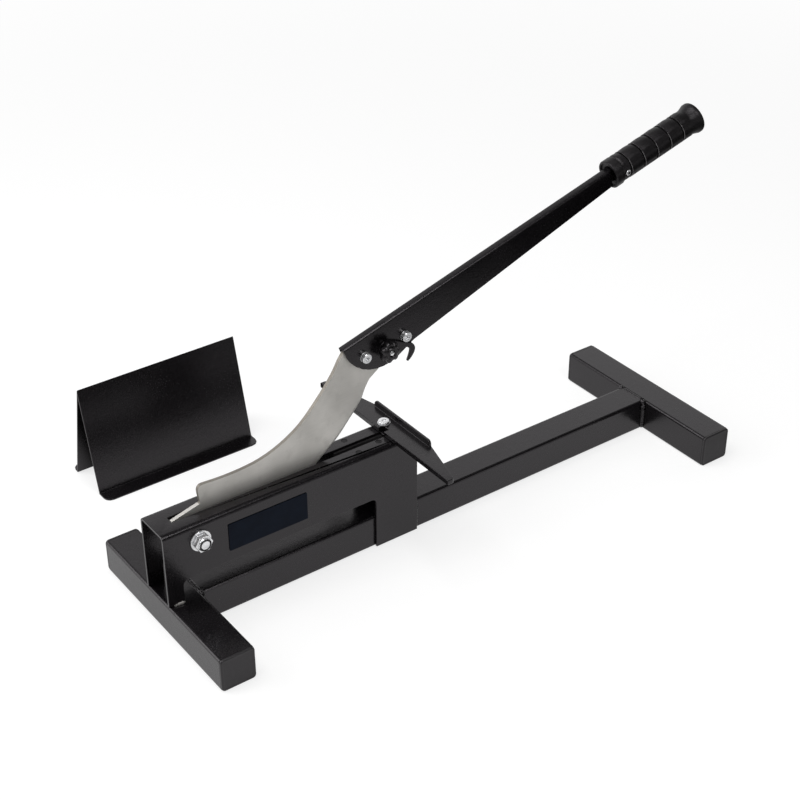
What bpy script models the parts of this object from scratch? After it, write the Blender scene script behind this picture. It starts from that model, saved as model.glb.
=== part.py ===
"""Laminate flooring cutter: a long lever swings a curved blade down through a slotted table.

Two square feet and a square spine carry a folded table channel. The blade turns on a bolt near
the front of that channel, its tang is bolted inside the folded lever, and a fence across the
rear of the table stops the board. A loose folded support stands beside the cutter.

Metres, +Z up. +X runs along the spine from the pivot end to the rear foot, and the origin lies
on the floor under the middle of the spine. The near side of the cutter faces -Y.
"""

import math

import bmesh
import bpy
from mathutils import Matrix, Vector
from mathutils.geometry import interpolate_bezier

# Fits and facets
GAP = 0.0003
OVERRUN = 0.01
MERGE = 0.00001
ROUND_STEPS = 28
SMALL_STEPS = 16
CORNER_STEPS = 3
NUT_STEPS = 3
SIDES = {"near": -1, "far": 1}
SHARP_DEGREES = 32

# Base frame of square tube
FRAME_LENGTH = 0.706
FOOT_LENGTH = 0.2445
FOOT_SHIFT = -0.003
TUBE_SIDE = 0.040
TUBE_WALL = 0.002
TUBE_CORNER = 0.003
CAP_FLANGE = 0.003
CAP_PLUG = 0.014
CAP_CORNER = 0.004

# Table channel, its window and its slot, measured from the front of the table
TABLE_LENGTH = 0.317
TABLE_HEIGHT = 0.130
TABLE_SHEET = 0.003
TABLE_BEND = 0.0055
TABLE_LEG = 0.019
WINDOW_RISE = 0.027
WINDOW_END = 0.261
WINDOW_CORNER = 0.006
SKIRT_LIFT = 0.001
SLOT_START = 0.021
SLOT_END = 0.287
SLOT_WIDTH = 0.010

# Pivot bolt and what it carries
PIVOT_FROM_FRONT = 0.042
PIVOT_BELOW_TOP = 0.0205
PIVOT_BOLT = 0.012
PIVOT_HEAD_FLATS = 0.018
PIVOT_HEAD_HEIGHT = 0.0075
PIVOT_NUT_FLATS = 0.018
PIVOT_NUT_HEIGHT = 0.0066
PIVOT_NUT_COLLAR = 0.0019
PIVOT_TAIL = 0.0004
PIVOT_WASHER = 0.024
PIVOT_WASHER_THICK = 0.0018
SPACER_DIAMETER = 0.020
BUSH_DIAMETER = 0.0165

# Blade, placed from the pivot, but its back from the hub's front end
BLADE_THICK = 0.0045
BLADE_REACH = 0.250
BLADE_LAND = 0.0009
BLADE_BEVEL = 0.0045
HUB_RADIUS = 0.0235
HUB_LOW_DEGREES = -80
HUB_HIGH_DEGREES = -200
HUB_FRONT_SHARES = (
    (-0.936, 0.596),
    (-0.834, 0.774),
    (-0.617, 0.849),
    (0.560, 1.150),
)
BLADE_BACK_SHARES = (
    (0.00536, 0.0029),
    (0.00236, 0.0259),
    (-0.00064, 0.0499),
    (-0.00064, 0.0699),
    (0.00836, 0.0839),
    (0.02736, 0.0879),
    (0.10736, 0.0829),
    (0.20336, 0.0839),
    (0.30336, 0.0959),
    (0.40336, 0.1299),
    (0.50336, 0.1899),
    (0.59936, 0.2859),
    (0.66736, 0.3699),
    (0.70336, 0.4299),
)
BLADE_EDGE_SHARES = (
    (0.908, 0.396),
    (0.888, 0.352),
    (0.862, 0.296),
    (0.804, 0.228),
    (0.740, 0.158),
    (0.648, 0.084),
    (0.572, 0.022),
    (0.472, -0.042),
    (0.352, -0.092),
    (0.212, -0.122),
)
BLADE_CURVE_STEPS = 3

# Lever, drawn along its own top edge: u runs to the grip and v down from the top
LEVER_TILT_DEGREES = 16.25
LEVER_HEEL_SHARE = (0.772, 0.586)
LEVER_LENGTH = 0.500
LEVER_SHEET = 0.0025
LEVER_BEND = 0.002
LEVER_HEEL_RADIUS = 0.048
LEVER_HEEL_DROP = 0.002
LEVER_HEEL_FLAT = 0.006
LEVER_RAMP_END = 0.082
LEVER_RAMP_ROUND = 0.012
LEVER_ROOT_DEPTH = 0.042
LEVER_NECK_DEPTH = 0.021
LEVER_TANG_DEPTH = 0.015
TANG_LENGTH = 0.086
TANG_END_ROUND = 0.008
TANG_INSET = 0.003
FRONT_BOLT_U = 0.0206
FRONT_BOLT_V = 0.0226
REAR_BOLT_U = 0.0728
REAR_BOLT_V = 0.0294
LEVER_BOLT = 0.006
LEVER_BOLT_HEAD = 0.0115
LEVER_BOLT_HEAD_HEIGHT = 0.0042
LEVER_BOLT_SOCKET = 0.005
LEVER_BOLT_SOCKET_DEPTH = 0.0024
LEVER_WASHER = 0.012
LEVER_WASHER_THICK = 0.0012
LEVER_NUT_FLATS = 0.010
LEVER_NUT_HEIGHT = 0.005

# Latch: a stud through the lever, a hook that swings on it and a knob that clamps the hook
STUD_U = 0.0458
STUD_V = 0.0284
STUD = 0.006
STUD_HEAD_FLATS = 0.010
STUD_HEAD_HEIGHT = 0.004
HOOK_THICK = 0.003
HOOK_EYE_RADIUS = 0.0095
HOOK_EYE_LOW_DEGREES = -60
HOOK_EYE_HIGH_DEGREES = -290
HOOK_REACH = 0.0385
HOOK_BACK_SHARES = (
    (0.400, 0.118),
    (0.631, 0.004),
    (0.873, -0.094),
    (0.985, -0.250),
    (0.966, -0.405),
    (0.857, -0.561),
    (0.740, -0.647),
)
HOOK_CLAW_SHARES = (
    (0.719, -0.623),
    (0.784, -0.455),
    (0.818, -0.309),
    (0.748, -0.205),
    (0.634, -0.160),
    (0.561, -0.170),
    (0.480, -0.205),
)
KNOB_BOSS = 0.014
KNOB_BOSS_LENGTH = 0.0025
KNOB_DIAMETER = 0.0245
KNOB_LOBE_DEPTH = 0.0016
KNOB_LOBES = 7
KNOB_HEAD_LENGTH = 0.009
KNOB_RECESS = 0.0075
KNOB_RECESS_DEPTH = 0.0025

# Grip, turned about the middle of the lever's tang
GRIP_START = 0.3765
GRIP_LENGTH = 0.132
GRIP_DIAMETER = 0.031
GRIP_COLLAR = 0.0326
GRIP_COLLAR_LENGTH = 0.0115
GRIP_FLARE = 0.0366
GRIP_FLARE_LENGTH = 0.012
GRIP_FLARE_RIM = 0.005
GRIP_END_RADIUS = 0.012
GRIP_GROOVES = 5
GRIP_GROOVE_PITCH = 0.020
GRIP_GROOVE_WIDTH = 0.0025
GRIP_GROOVE_DEPTH = 0.0010
GRIP_SCREW_FROM_END = 0.0155
GRIP_SCREW = 0.0035
GRIP_SCREW_HEAD = 0.0065
GRIP_SCREW_HEAD_HEIGHT = 0.0018

# Fence across the rear of the table
FENCE_FROM_FRONT = 0.285
FENCE_LENGTH = 0.240
FENCE_THICK = 0.006
FENCE_DEPTH = 0.025
FENCE_TIP = 0.008
FENCE_TIP_ROUND = 0.003
FENCE_FLANGE_LENGTH = 0.102
FENCE_FLANGE_SHIFT = -0.007
FENCE_FLANGE_THICK = 0.003
FENCE_FLANGE_RISE = 0.0073
FENCE_FLANGE_ROUND = 0.004
FENCE_NOTCH_DEPTH = 0.007
FENCE_NOTCH_WIDTH = 0.010
FENCE_BOLT_SETBACK = 0.010
FENCE_BOLT_OFFSET = 0.009
FENCE_BOLT = 0.006
FENCE_BOLT_HEAD = 0.0132
FENCE_BOLT_HEAD_HEIGHT = 0.0022
FENCE_BOLT_SOCKET = 0.0045
FENCE_BOLT_SOCKET_DEPTH = 0.0012
FENCE_WASHER = 0.0145
FENCE_WASHER_THICK = 0.0008
FENCE_NUT_FLATS = 0.010
FENCE_NUT_HEIGHT = 0.005
FENCE_BOLT_TAIL = 0.003

# Guide strips under the table, each side of the slot
GUIDE_START = 0.225
GUIDE_END = 0.308
GUIDE_THICK = 0.006
GUIDE_WIDTH = 0.014
GUIDE_CLEARANCE = 0.00075
GUIDE_SCREW_FROM_FRONT = 0.2455
GUIDE_SCREW_OFFSET = 0.014
GUIDE_REAR_SCREW_FROM_FRONT = 0.2745
GUIDE_REAR_SCREW_OFFSET = 0.0096
GUIDE_SCREW = 0.0035
GUIDE_SCREW_HEAD = 0.0062
GUIDE_SCREW_HEAD_HEIGHT = 0.0018
GUIDE_SCREW_LENGTH = 0.009

# Bare plate on the near wall of the table
LABEL_FROM_FRONT = 0.075
LABEL_LENGTH = 0.0965
LABEL_BELOW_TOP = 0.016
LABEL_HEIGHT = 0.0335
LABEL_THICK = 0.0006
LABEL_CORNER = 0.001

# Loose folded support that stands beside the cutter
SUPPORT_FROM_FRONT = 0.057
SUPPORT_LENGTH = 0.208
SUPPORT_RIDGE_Y = 0.2795
SUPPORT_SHEET = 0.002
SUPPORT_SPREAD = 0.060
SUPPORT_NEAR_FLANGE = 0.018
SUPPORT_FAR_FLANGE = 0.012
SUPPORT_CORNER = 0.009

# Places that follow from the sizes above
FRONT_X = -FRAME_LENGTH / 2
REAR_X = FRAME_LENGTH / 2
HALF_TUBE = TUBE_SIDE / 2
TABLE_HALF = HALF_TUBE + GAP + TABLE_SHEET
TABLE_INSIDE = TABLE_HALF - TABLE_SHEET
TABLE_UNDERSIDE = TABLE_HEIGHT - TABLE_SHEET
PIVOT_X = FRONT_X + PIVOT_FROM_FRONT
PIVOT_HEIGHT = TABLE_HEIGHT - PIVOT_BELOW_TOP
PIVOT_PLACE = Vector((PIVOT_X, 0, PIVOT_HEIGHT))
BLADE_HALF = BLADE_THICK / 2
LEVER_INSIDE = BLADE_HALF + GAP
LEVER_HALF = LEVER_INSIDE + LEVER_SHEET
LEVER_TILT = math.radians(LEVER_TILT_DEGREES)
LEVER_AXIS_V = LEVER_TANG_DEPTH / 2
FENCE_X = FRONT_X + FENCE_FROM_FRONT
FENCE_BASE = TABLE_HEIGHT + GAP
FENCE_TOP = FENCE_BASE + FENCE_THICK
GUIDE_TOP = TABLE_UNDERSIDE - GAP
GUIDE_INNER = BLADE_HALF + GUIDE_CLEARANCE
FENCE_BOLT_PLACE = (FENCE_X + FENCE_BOLT_SETBACK, FENCE_BOLT_OFFSET)


def clear_scene():
    """Remove every object, so that the cutter is all that the scene holds."""
    for item in list(bpy.data.objects):
        bpy.data.objects.remove(item, do_unlink=True)


def finish(name, color, metallic, roughness):
    """Make a Principled material from a linear colour, a metallic value and a roughness."""
    material = bpy.data.materials.new(name)
    material.use_nodes = True
    shader = material.node_tree.nodes["Principled BSDF"]
    shader.inputs["Base Color"].default_value = (*color, 1)
    shader.inputs["Metallic"].default_value = metallic
    shader.inputs["Roughness"].default_value = roughness
    material.diffuse_color = (*color, 1)
    return material


def frame_of(origin, right, up):
    """Matrix that lays a flat outline on the plane of right and up, deepening along right x up."""
    right = Vector(right)
    up = Vector(up)
    rows = Matrix((right, up, right.cross(up))).transposed()
    return Matrix.Translation(Vector(origin)) @ rows.to_4x4()


def side_frame(y):
    """Outline in X and Z that starts at y and deepens towards the near side."""
    return frame_of((0, y, 0), (1, 0, 0), (0, 0, 1))


def end_frame(x):
    """Outline in Y and Z that starts at x and deepens towards the rear foot."""
    return frame_of((x, 0, 0), (0, 1, 0), (0, 0, 1))


def plan_frame(z):
    """Outline in X and Y that starts at z and rises."""
    return frame_of((0, 0, z), (1, 0, 0), (0, 1, 0))


def across_frame(x, y, z):
    """Round outline about a point, deepening from y towards the near side."""
    return frame_of((x, y, z), (1, 0, 0), (0, 0, 1))


def upright_frame(x, y, z):
    """Round outline about a point, rising from z."""
    return frame_of((x, y, z), (1, 0, 0), (0, 1, 0))


def arc(centre, radius, start, end, steps):
    """Points of an arc between two angles in degrees, ends included."""
    angles = [math.radians(start + (end - start) * step / steps) for step in range(steps + 1)]
    return [(centre[0] + radius * math.cos(a), centre[1] + radius * math.sin(a)) for a in angles]


def circle(diameter, steps=ROUND_STEPS):
    """Points of a full circle about the outline's origin."""
    return arc((0, 0), diameter / 2, 0, 360, steps)[:-1]


def hexagon(flats):
    """Corners of a hexagon of this size across flats, with its flats facing the second axis."""
    return arc((0, 0), flats / math.sqrt(3), 0, 360, 6)[:-1]


def rectangle(low, high):
    """Corners of a rectangle between two opposite corners."""
    return [(low[0], low[1]), (high[0], low[1]), (high[0], high[1]), (low[0], high[1])]


def rounded(corners, radii, steps=CORNER_STEPS):
    """Outline whose corners are arcs of their radii; a radius of zero keeps a corner sharp."""
    points = []
    for index, (corner, radius) in enumerate(zip(corners, radii)):
        here = Vector(corner)
        if not radius:
            points.append(tuple(here))
            continue
        back = (Vector(corners[index - 1]) - here).normalized()
        ahead = (Vector(corners[(index + 1) % len(corners)]) - here).normalized()
        half = back.angle(ahead) / 2
        centre = here + (back + ahead).normalized() * (radius / math.sin(half))
        start = here + back * (radius / math.tan(half)) - centre
        end = here + ahead * (radius / math.tan(half)) - centre
        sweep = -start.angle_signed(end)
        for step in range(steps + 1):
            points.append(tuple(centre + Matrix.Rotation(sweep * step / steps, 2) @ start))
    return points


def rounded_rectangle(low, high, radius):
    """Rectangle with all four corners rounded alike."""
    return rounded(rectangle(low, high), (radius,) * 4)


def smooth_curve(points, steps=BLADE_CURVE_STEPS):
    """Curve through all the points, with the given number of steps between neighbours."""
    spots = [Vector(point) for point in points]
    spots = [spots[0], *spots, spots[-1]]
    curve = [tuple(spots[1])]
    for before, start, end, after in zip(spots, spots[1:], spots[2:], spots[3:]):
        first = start + (end - before) / 6
        second = end - (after - start) / 6
        piece = interpolate_bezier(start, first, second, end, steps + 1)
        curve.extend((spot[0], spot[1]) for spot in piece[1:])
    return curve


def push(bm, faces, depth, frame):
    """Give flat faces their depth along their own third axis, then set them in the frame."""
    pushed = bmesh.ops.extrude_face_region(bm, geom=faces)["geom"]
    moved = [item for item in pushed if isinstance(item, bmesh.types.BMVert)]
    bmesh.ops.translate(bm, vec=(0, 0, depth), verts=moved)
    bmesh.ops.transform(bm, matrix=frame, verts=bm.verts)
    bmesh.ops.recalc_face_normals(bm, faces=bm.faces)
    return bm


def prism(outline, depth, frame):
    """Solid with a flat outline and a depth."""
    bm = bmesh.new()
    face = bm.faces.new([bm.verts.new((a, b, 0)) for a, b in outline])
    return push(bm, [face], depth, frame)


def pipe(outer, inner, depth, frame):
    """Open tube between two outlines with as many points as each other."""
    bm = bmesh.new()
    edges = []
    for outline in (outer, inner):
        verts = [bm.verts.new((a, b, 0)) for a, b in outline]
        edges.extend(bm.edges.new((verts[i - 1], verts[i])) for i in range(len(verts)))
    faces = bmesh.ops.bridge_loops(bm, edges=edges)["faces"]
    return push(bm, faces, depth, frame)


def turned(profile, frame, steps=ROUND_STEPS):
    """Solid of revolution about the frame's third axis from pairs of radius and height."""
    bm = bmesh.new()
    verts = [bm.verts.new((radius, 0, height)) for radius, height in profile]
    edges = [bm.edges.new(pair) for pair in zip(verts, verts[1:])]
    turn = math.radians(360)
    axis = (0, 0, 1)
    bmesh.ops.spin(
        bm, geom=verts + edges, cent=(0, 0, 0), axis=axis, angle=turn, steps=steps, use_merge=True
    )
    bmesh.ops.remove_doubles(bm, verts=bm.verts, dist=MERGE)
    bmesh.ops.transform(bm, matrix=frame, verts=bm.verts)
    bmesh.ops.recalc_face_normals(bm, faces=bm.faces)
    return bm


def gathered(solids):
    """One bmesh that holds several separate solids."""
    whole = bmesh.new()
    for bm in solids:
        mesh = bpy.data.meshes.new("gathered")
        bm.to_mesh(mesh)
        bm.free()
        whole.from_mesh(mesh)
        bpy.data.meshes.remove(mesh)
    return whole


def axis_empty(name, place, parent=None):
    """Empty on a joint's axis, which carries what moves with that joint."""
    empty = bpy.data.objects.new(name, None)
    bpy.context.scene.collection.objects.link(empty)
    empty.parent = parent
    empty.location = Vector(place)
    if parent:
        empty.location -= parent.matrix_world.translation
    bpy.context.view_layer.update()
    return empty


def add_object(name, bm, material=None, carrier=None):
    """Named object from a bmesh in world coordinates, with its origin on its carrier's axis."""
    if carrier:
        bmesh.ops.translate(bm, vec=-carrier.matrix_world.translation, verts=bm.verts)
    mesh = bpy.data.meshes.new(name)
    bm.to_mesh(mesh)
    bm.free()
    if material:
        mesh.materials.append(material)
    mesh.shade_smooth()
    mesh.set_sharp_from_angle(angle=math.radians(SHARP_DEGREES))
    item = bpy.data.objects.new(name, mesh)
    bpy.context.scene.collection.objects.link(item)
    item.parent = carrier
    return item


def shape_with(item, operation, name, bm):
    """Cut, join or trim an object with a hidden wire body that stays in the scene."""
    body = add_object(f"{item.name}_{name}", bm, carrier=item.parent)
    body.hide_render = True
    body.display_type = "WIRE"
    modifier = item.modifiers.new(name, "BOOLEAN")
    modifier.operation = operation
    modifier.object = body
    return item


def drill(item, name, diameter, places, low, high, steps=ROUND_STEPS):
    """Holes that run along Y from high down to low at places in X and Z."""
    depth = high - low
    holes = [prism(circle(diameter, steps), depth, across_frame(x, high, z)) for x, z in places]
    return shape_with(item, "DIFFERENCE", name, gathered(holes))


def lever_point(u, v):
    """World X and Z of a point on the lever, from its own u and v."""
    heel_x, heel_z = blade_place(LEVER_HEEL_SHARE)
    x = heel_x + u * math.cos(LEVER_TILT) + v * math.sin(LEVER_TILT)
    z = heel_z + u * math.sin(LEVER_TILT) - v * math.cos(LEVER_TILT)
    return (x, z)


def lever_direction():
    """Unit vector along the lever's top edge, towards the grip."""
    return Vector((math.cos(LEVER_TILT), 0, math.sin(LEVER_TILT)))


def bolt_places():
    """X and Z of the two bolts that clamp the blade in the lever."""
    return [lever_point(FRONT_BOLT_U, FRONT_BOLT_V), lever_point(REAR_BOLT_U, REAR_BOLT_V)]


def tube_outline(inset):
    """Square tube outline about the spine, standing on the floor, drawn in by an inset."""
    low = (-HALF_TUBE + inset, inset)
    high = (HALF_TUBE - inset, TUBE_SIDE - inset)
    return rounded_rectangle(low, high, max(TUBE_CORNER - inset, TUBE_WALL / 2))


def foot_frame(x, y):
    """Tube outline centred on x, deepening towards +Y from y."""
    return frame_of((x, y, 0), (-1, 0, 0), (0, 0, 1))


def build_foot(name, x, paint, plastic):
    """One square foot across the spine, with a plug cap pressed in each end."""
    half = FOOT_LENGTH / 2 - CAP_FLANGE - GAP
    frame = foot_frame(x, FOOT_SHIFT - half)
    tube = pipe(tube_outline(0), tube_outline(TUBE_WALL), 2 * half, frame)
    add_object(f"{name}_foot_tube", tube, paint)
    for side, sign in SIDES.items():
        start = FOOT_SHIFT + sign * (half + GAP)
        frame = frame_of((x, start, 0), (sign * -1, 0, 0), (0, 0, 1))
        low = (-HALF_TUBE, 0)
        high = (HALF_TUBE, TUBE_SIDE)
        flange = prism(rounded_rectangle(low, high, CAP_CORNER), CAP_FLANGE, frame)
        cap = add_object(f"{name}_foot_cap_{side}", flange, plastic)
        inner = frame_of((x, start - sign * CAP_PLUG, 0), (sign * -1, 0, 0), (0, 0, 1))
        plug = prism(tube_outline(TUBE_WALL + GAP), CAP_PLUG + CAP_FLANGE / 2, inner)
        shape_with(cap, "UNION", "plug", plug)


def build_spine(paint):
    """Square tube that runs between the two feet."""
    length = FRAME_LENGTH - 2 * (TUBE_SIDE + GAP)
    start = FRONT_X + TUBE_SIDE + GAP
    bm = pipe(tube_outline(0), tube_outline(TUBE_WALL), length, end_frame(start))
    add_object("spine_tube", bm, paint)


def table_section():
    """Inverted U of folded sheet, seen along the spine."""
    inner_bend = TABLE_BEND - TABLE_SHEET
    outer = [(-TABLE_HALF, SKIRT_LIFT), (-TABLE_HALF, TABLE_HEIGHT)]
    outer += [(TABLE_HALF, TABLE_HEIGHT), (TABLE_HALF, SKIRT_LIFT)]
    inner = [(TABLE_INSIDE, SKIRT_LIFT), (TABLE_INSIDE, TABLE_UNDERSIDE)]
    inner += [(-TABLE_INSIDE, TABLE_UNDERSIDE), (-TABLE_INSIDE, SKIRT_LIFT)]
    radii = (0, TABLE_BEND, TABLE_BEND, 0, 0, inner_bend, inner_bend, 0)
    return rounded(outer + inner, radii)


def window_outline():
    """What the table's walls leave open above the front foot and the spine, seen from the side."""
    front = FRONT_X - OVERRUN
    leg = FRONT_X + TABLE_LEG
    end = FRONT_X + WINDOW_END
    foot_top = TUBE_SIDE + GAP
    top = TUBE_SIDE + WINDOW_RISE
    corners = [(front, -OVERRUN), (end, -OVERRUN), (end, top), (leg, top), (leg, foot_top)]
    corners.append((front, foot_top))
    return rounded(corners, (0, 0, WINDOW_CORNER, WINDOW_CORNER, 0, 0))


def build_table(paint):
    """Folded channel over the spine with its side windows, blade slot and bolt holes."""
    bm = prism(table_section(), TABLE_LENGTH, end_frame(FRONT_X))
    table = add_object("table_channel", bm, paint)
    width = 2 * (TABLE_HALF + OVERRUN)
    opening = prism(window_outline(), width, side_frame(width / 2))
    shape_with(table, "DIFFERENCE", "window", opening)
    low = (FRONT_X + SLOT_START, -SLOT_WIDTH / 2)
    high = (FRONT_X + SLOT_END, SLOT_WIDTH / 2)
    slot = prism(rectangle(low, high), 2 * OVERRUN, plan_frame(TABLE_UNDERSIDE - OVERRUN))
    shape_with(table, "DIFFERENCE", "slot", slot)
    bore = PIVOT_BOLT + 2 * GAP
    drill(table, "pivot_holes", bore, [(PIVOT_X, PIVOT_HEIGHT)], -width / 2, width / 2)
    frame = upright_frame(*FENCE_BOLT_PLACE, TABLE_UNDERSIDE - OVERRUN)
    holes = [prism(circle(FENCE_BOLT + 2 * GAP, SMALL_STEPS), 2 * OVERRUN, frame)]
    for x, y in guide_screw_places().values():
        holes.append(turned(screw_profile(GAP, OVERRUN), screw_frame(x, y), SMALL_STEPS))
    shape_with(table, "DIFFERENCE", "top_holes", gathered(holes))


def guide_screw_places():
    """X and Y of each countersunk screw that holds a guide strip under the table."""
    front = FRONT_X + GUIDE_SCREW_FROM_FRONT
    rear = FRONT_X + GUIDE_REAR_SCREW_FROM_FRONT
    return {
        "near": (front, -GUIDE_SCREW_OFFSET),
        "near_rear": (rear, -GUIDE_REAR_SCREW_OFFSET),
        "far": (front, GUIDE_SCREW_OFFSET),
    }


def screw_frame(x, y):
    """Frame with its origin at a countersunk screw's flat top, heights below it negative."""
    return upright_frame(x, y, TABLE_HEIGHT - GAP)


def screw_profile(ease, above):
    """Countersunk screw outline, grown by an ease all over and carried on above its top."""
    head = GUIDE_SCREW_HEAD / 2 + ease
    shank = GUIDE_SCREW / 2 + ease
    bottom = -GUIDE_SCREW_LENGTH - ease
    shoulder = -GUIDE_SCREW_HEAD_HEIGHT - ease
    return [(0, bottom), (shank, bottom), (shank, shoulder), (head, -ease), (head, above), (0, above)]


def build_guides(steel, nylon):
    """Two strips under the slot that keep the blade upright, and the screws that hold them."""
    start = FRONT_X + GUIDE_START
    end = FRONT_X + GUIDE_END
    drop = GUIDE_THICK + 2 * OVERRUN
    fixings = {place: (*spot, GUIDE_SCREW) for place, spot in guide_screw_places().items()}
    for place, (x, y, _) in fixings.items():
        bm = turned(screw_profile(0, 0), screw_frame(x, y), SMALL_STEPS)
        add_object(f"guide_screw_{place}", bm, steel)
    fixings["far_bolt"] = (*FENCE_BOLT_PLACE, FENCE_BOLT)
    for side, sign in SIDES.items():
        edges = sorted((sign * GUIDE_INNER, sign * (GUIDE_INNER + GUIDE_WIDTH)))
        outline = rectangle((start, edges[0]), (end, edges[1]))
        bm = prism(outline, GUIDE_THICK, plan_frame(GUIDE_TOP - GUIDE_THICK))
        guide = add_object(f"blade_guide_{side}", bm, nylon)
        holes = []
        for x, y, diameter in (spot for place, spot in fixings.items() if place.startswith(side)):
            frame = upright_frame(x, y, GUIDE_TOP - GUIDE_THICK - OVERRUN)
            holes.append(prism(circle(diameter + 2 * GAP, SMALL_STEPS), drop, frame))
        shape_with(guide, "DIFFERENCE", "holes", gathered(holes))


def fence_outline():
    """Fence seen from above: straight front edge, notch for the blade and tapered wings."""
    front = FENCE_X
    rear = FENCE_X + FENCE_DEPTH
    tip = FENCE_X + FENCE_TIP
    half = FENCE_LENGTH / 2
    near = FENCE_FLANGE_SHIFT - FENCE_FLANGE_LENGTH / 2
    far = FENCE_FLANGE_SHIFT + FENCE_FLANGE_LENGTH / 2
    notch = FENCE_NOTCH_WIDTH / 2
    floor = FENCE_X + FENCE_NOTCH_DEPTH
    corners = [(front, -half), (tip, -half), (rear, near), (rear, far), (tip, half), (front, half)]
    corners += [(front, notch), (floor, notch), (floor, -notch), (front, -notch)]
    tip_round = FENCE_TIP_ROUND
    return rounded(corners, (0, tip_round, 0, 0, tip_round, 0, 0, 0, 0, 0))


def flange_outline():
    """Upstand along the rear of the fence, seen along the spine."""
    near = FENCE_FLANGE_SHIFT - FENCE_FLANGE_LENGTH / 2
    far = FENCE_FLANGE_SHIFT + FENCE_FLANGE_LENGTH / 2
    low = FENCE_BASE + FENCE_THICK / 2
    high = FENCE_TOP + FENCE_FLANGE_RISE
    return rounded(rectangle((near, low), (far, high)), (0, 0, FENCE_FLANGE_ROUND, FENCE_FLANGE_ROUND))


def build_fence(paint, zinc):
    """Fence, its upstand, and the bolt that holds it through the table and the far guide."""
    bm = prism(fence_outline(), FENCE_THICK, plan_frame(FENCE_BASE))
    fence = add_object("fence_bar", bm, paint)
    rear = FENCE_X + FENCE_DEPTH - FENCE_FLANGE_THICK
    shape_with(
        fence, "UNION", "flange", prism(flange_outline(), FENCE_FLANGE_THICK, end_frame(rear))
    )
    x, y = FENCE_BOLT_PLACE
    bore = circle(FENCE_BOLT + 2 * GAP, SMALL_STEPS)
    hole = prism(bore, 2 * FENCE_THICK, upright_frame(x, y, FENCE_BASE - FENCE_THICK / 2))
    shape_with(fence, "DIFFERENCE", "bolt_hole", hole)
    build_fence_bolt(x, y, zinc)


def build_fence_bolt(x, y, zinc):
    """Bolt down through the fence, the table and the far guide, with its washers and its nut."""
    under = GUIDE_TOP - GUIDE_THICK - GAP
    above = FENCE_TOP + GAP
    seat = above + FENCE_WASHER_THICK + GAP
    tail = under - FENCE_WASHER_THICK - FENCE_NUT_HEIGHT - FENCE_BOLT_TAIL
    bore = circle(FENCE_BOLT + 2 * GAP, SMALL_STEPS)
    disc = circle(FENCE_WASHER, SMALL_STEPS)
    for place, z in (("top", above), ("under", under - FENCE_WASHER_THICK)):
        washer = pipe(disc, bore, FENCE_WASHER_THICK, upright_frame(x, y, z))
        add_object(f"fence_washer_{place}", washer, zinc)
    bolt = turned(pan_bolt_profile(seat - tail), upright_frame(x, y, tail), SMALL_STEPS)
    add_object("fence_bolt", bolt, zinc)
    frame = upright_frame(x, y, under - FENCE_WASHER_THICK - GAP - FENCE_NUT_HEIGHT)
    nut = hex_nut(FENCE_NUT_FLATS, FENCE_BOLT, FENCE_NUT_HEIGHT, frame)
    add_object("fence_nut", nut, zinc)


def hex_nut(flats, bolt, height, frame):
    """Hexagon nut: each side of the hexagon faces the same number of points of its round bore."""
    corners = [Vector(corner) for corner in hexagon(flats)]
    outer = []
    for corner, after in zip(corners, [*corners[1:], corners[0]]):
        outer += [tuple(corner.lerp(after, step / NUT_STEPS)) for step in range(NUT_STEPS)]
    inner = circle(bolt + 2 * GAP, len(outer))
    return pipe(outer, inner, height, frame)


def pan_bolt_profile(length):
    """Socket bolt with a low round head on top of a shank of this length, drawn upwards."""
    shank = FENCE_BOLT / 2
    head = FENCE_BOLT_HEAD / 2
    top = length + FENCE_BOLT_HEAD_HEIGHT
    shoulder = length + FENCE_BOLT_HEAD_HEIGHT / 2
    socket = FENCE_BOLT_SOCKET / 2
    floor = top - FENCE_BOLT_SOCKET_DEPTH
    profile = [(0, 0), (shank, 0), (shank, length), (head, length), (head, shoulder)]
    profile += arc((head - (top - shoulder), shoulder), top - shoulder, 0, 90, CORNER_STEPS)[1:]
    return [*profile, (socket, top), (socket, floor), (0, floor)]


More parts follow.
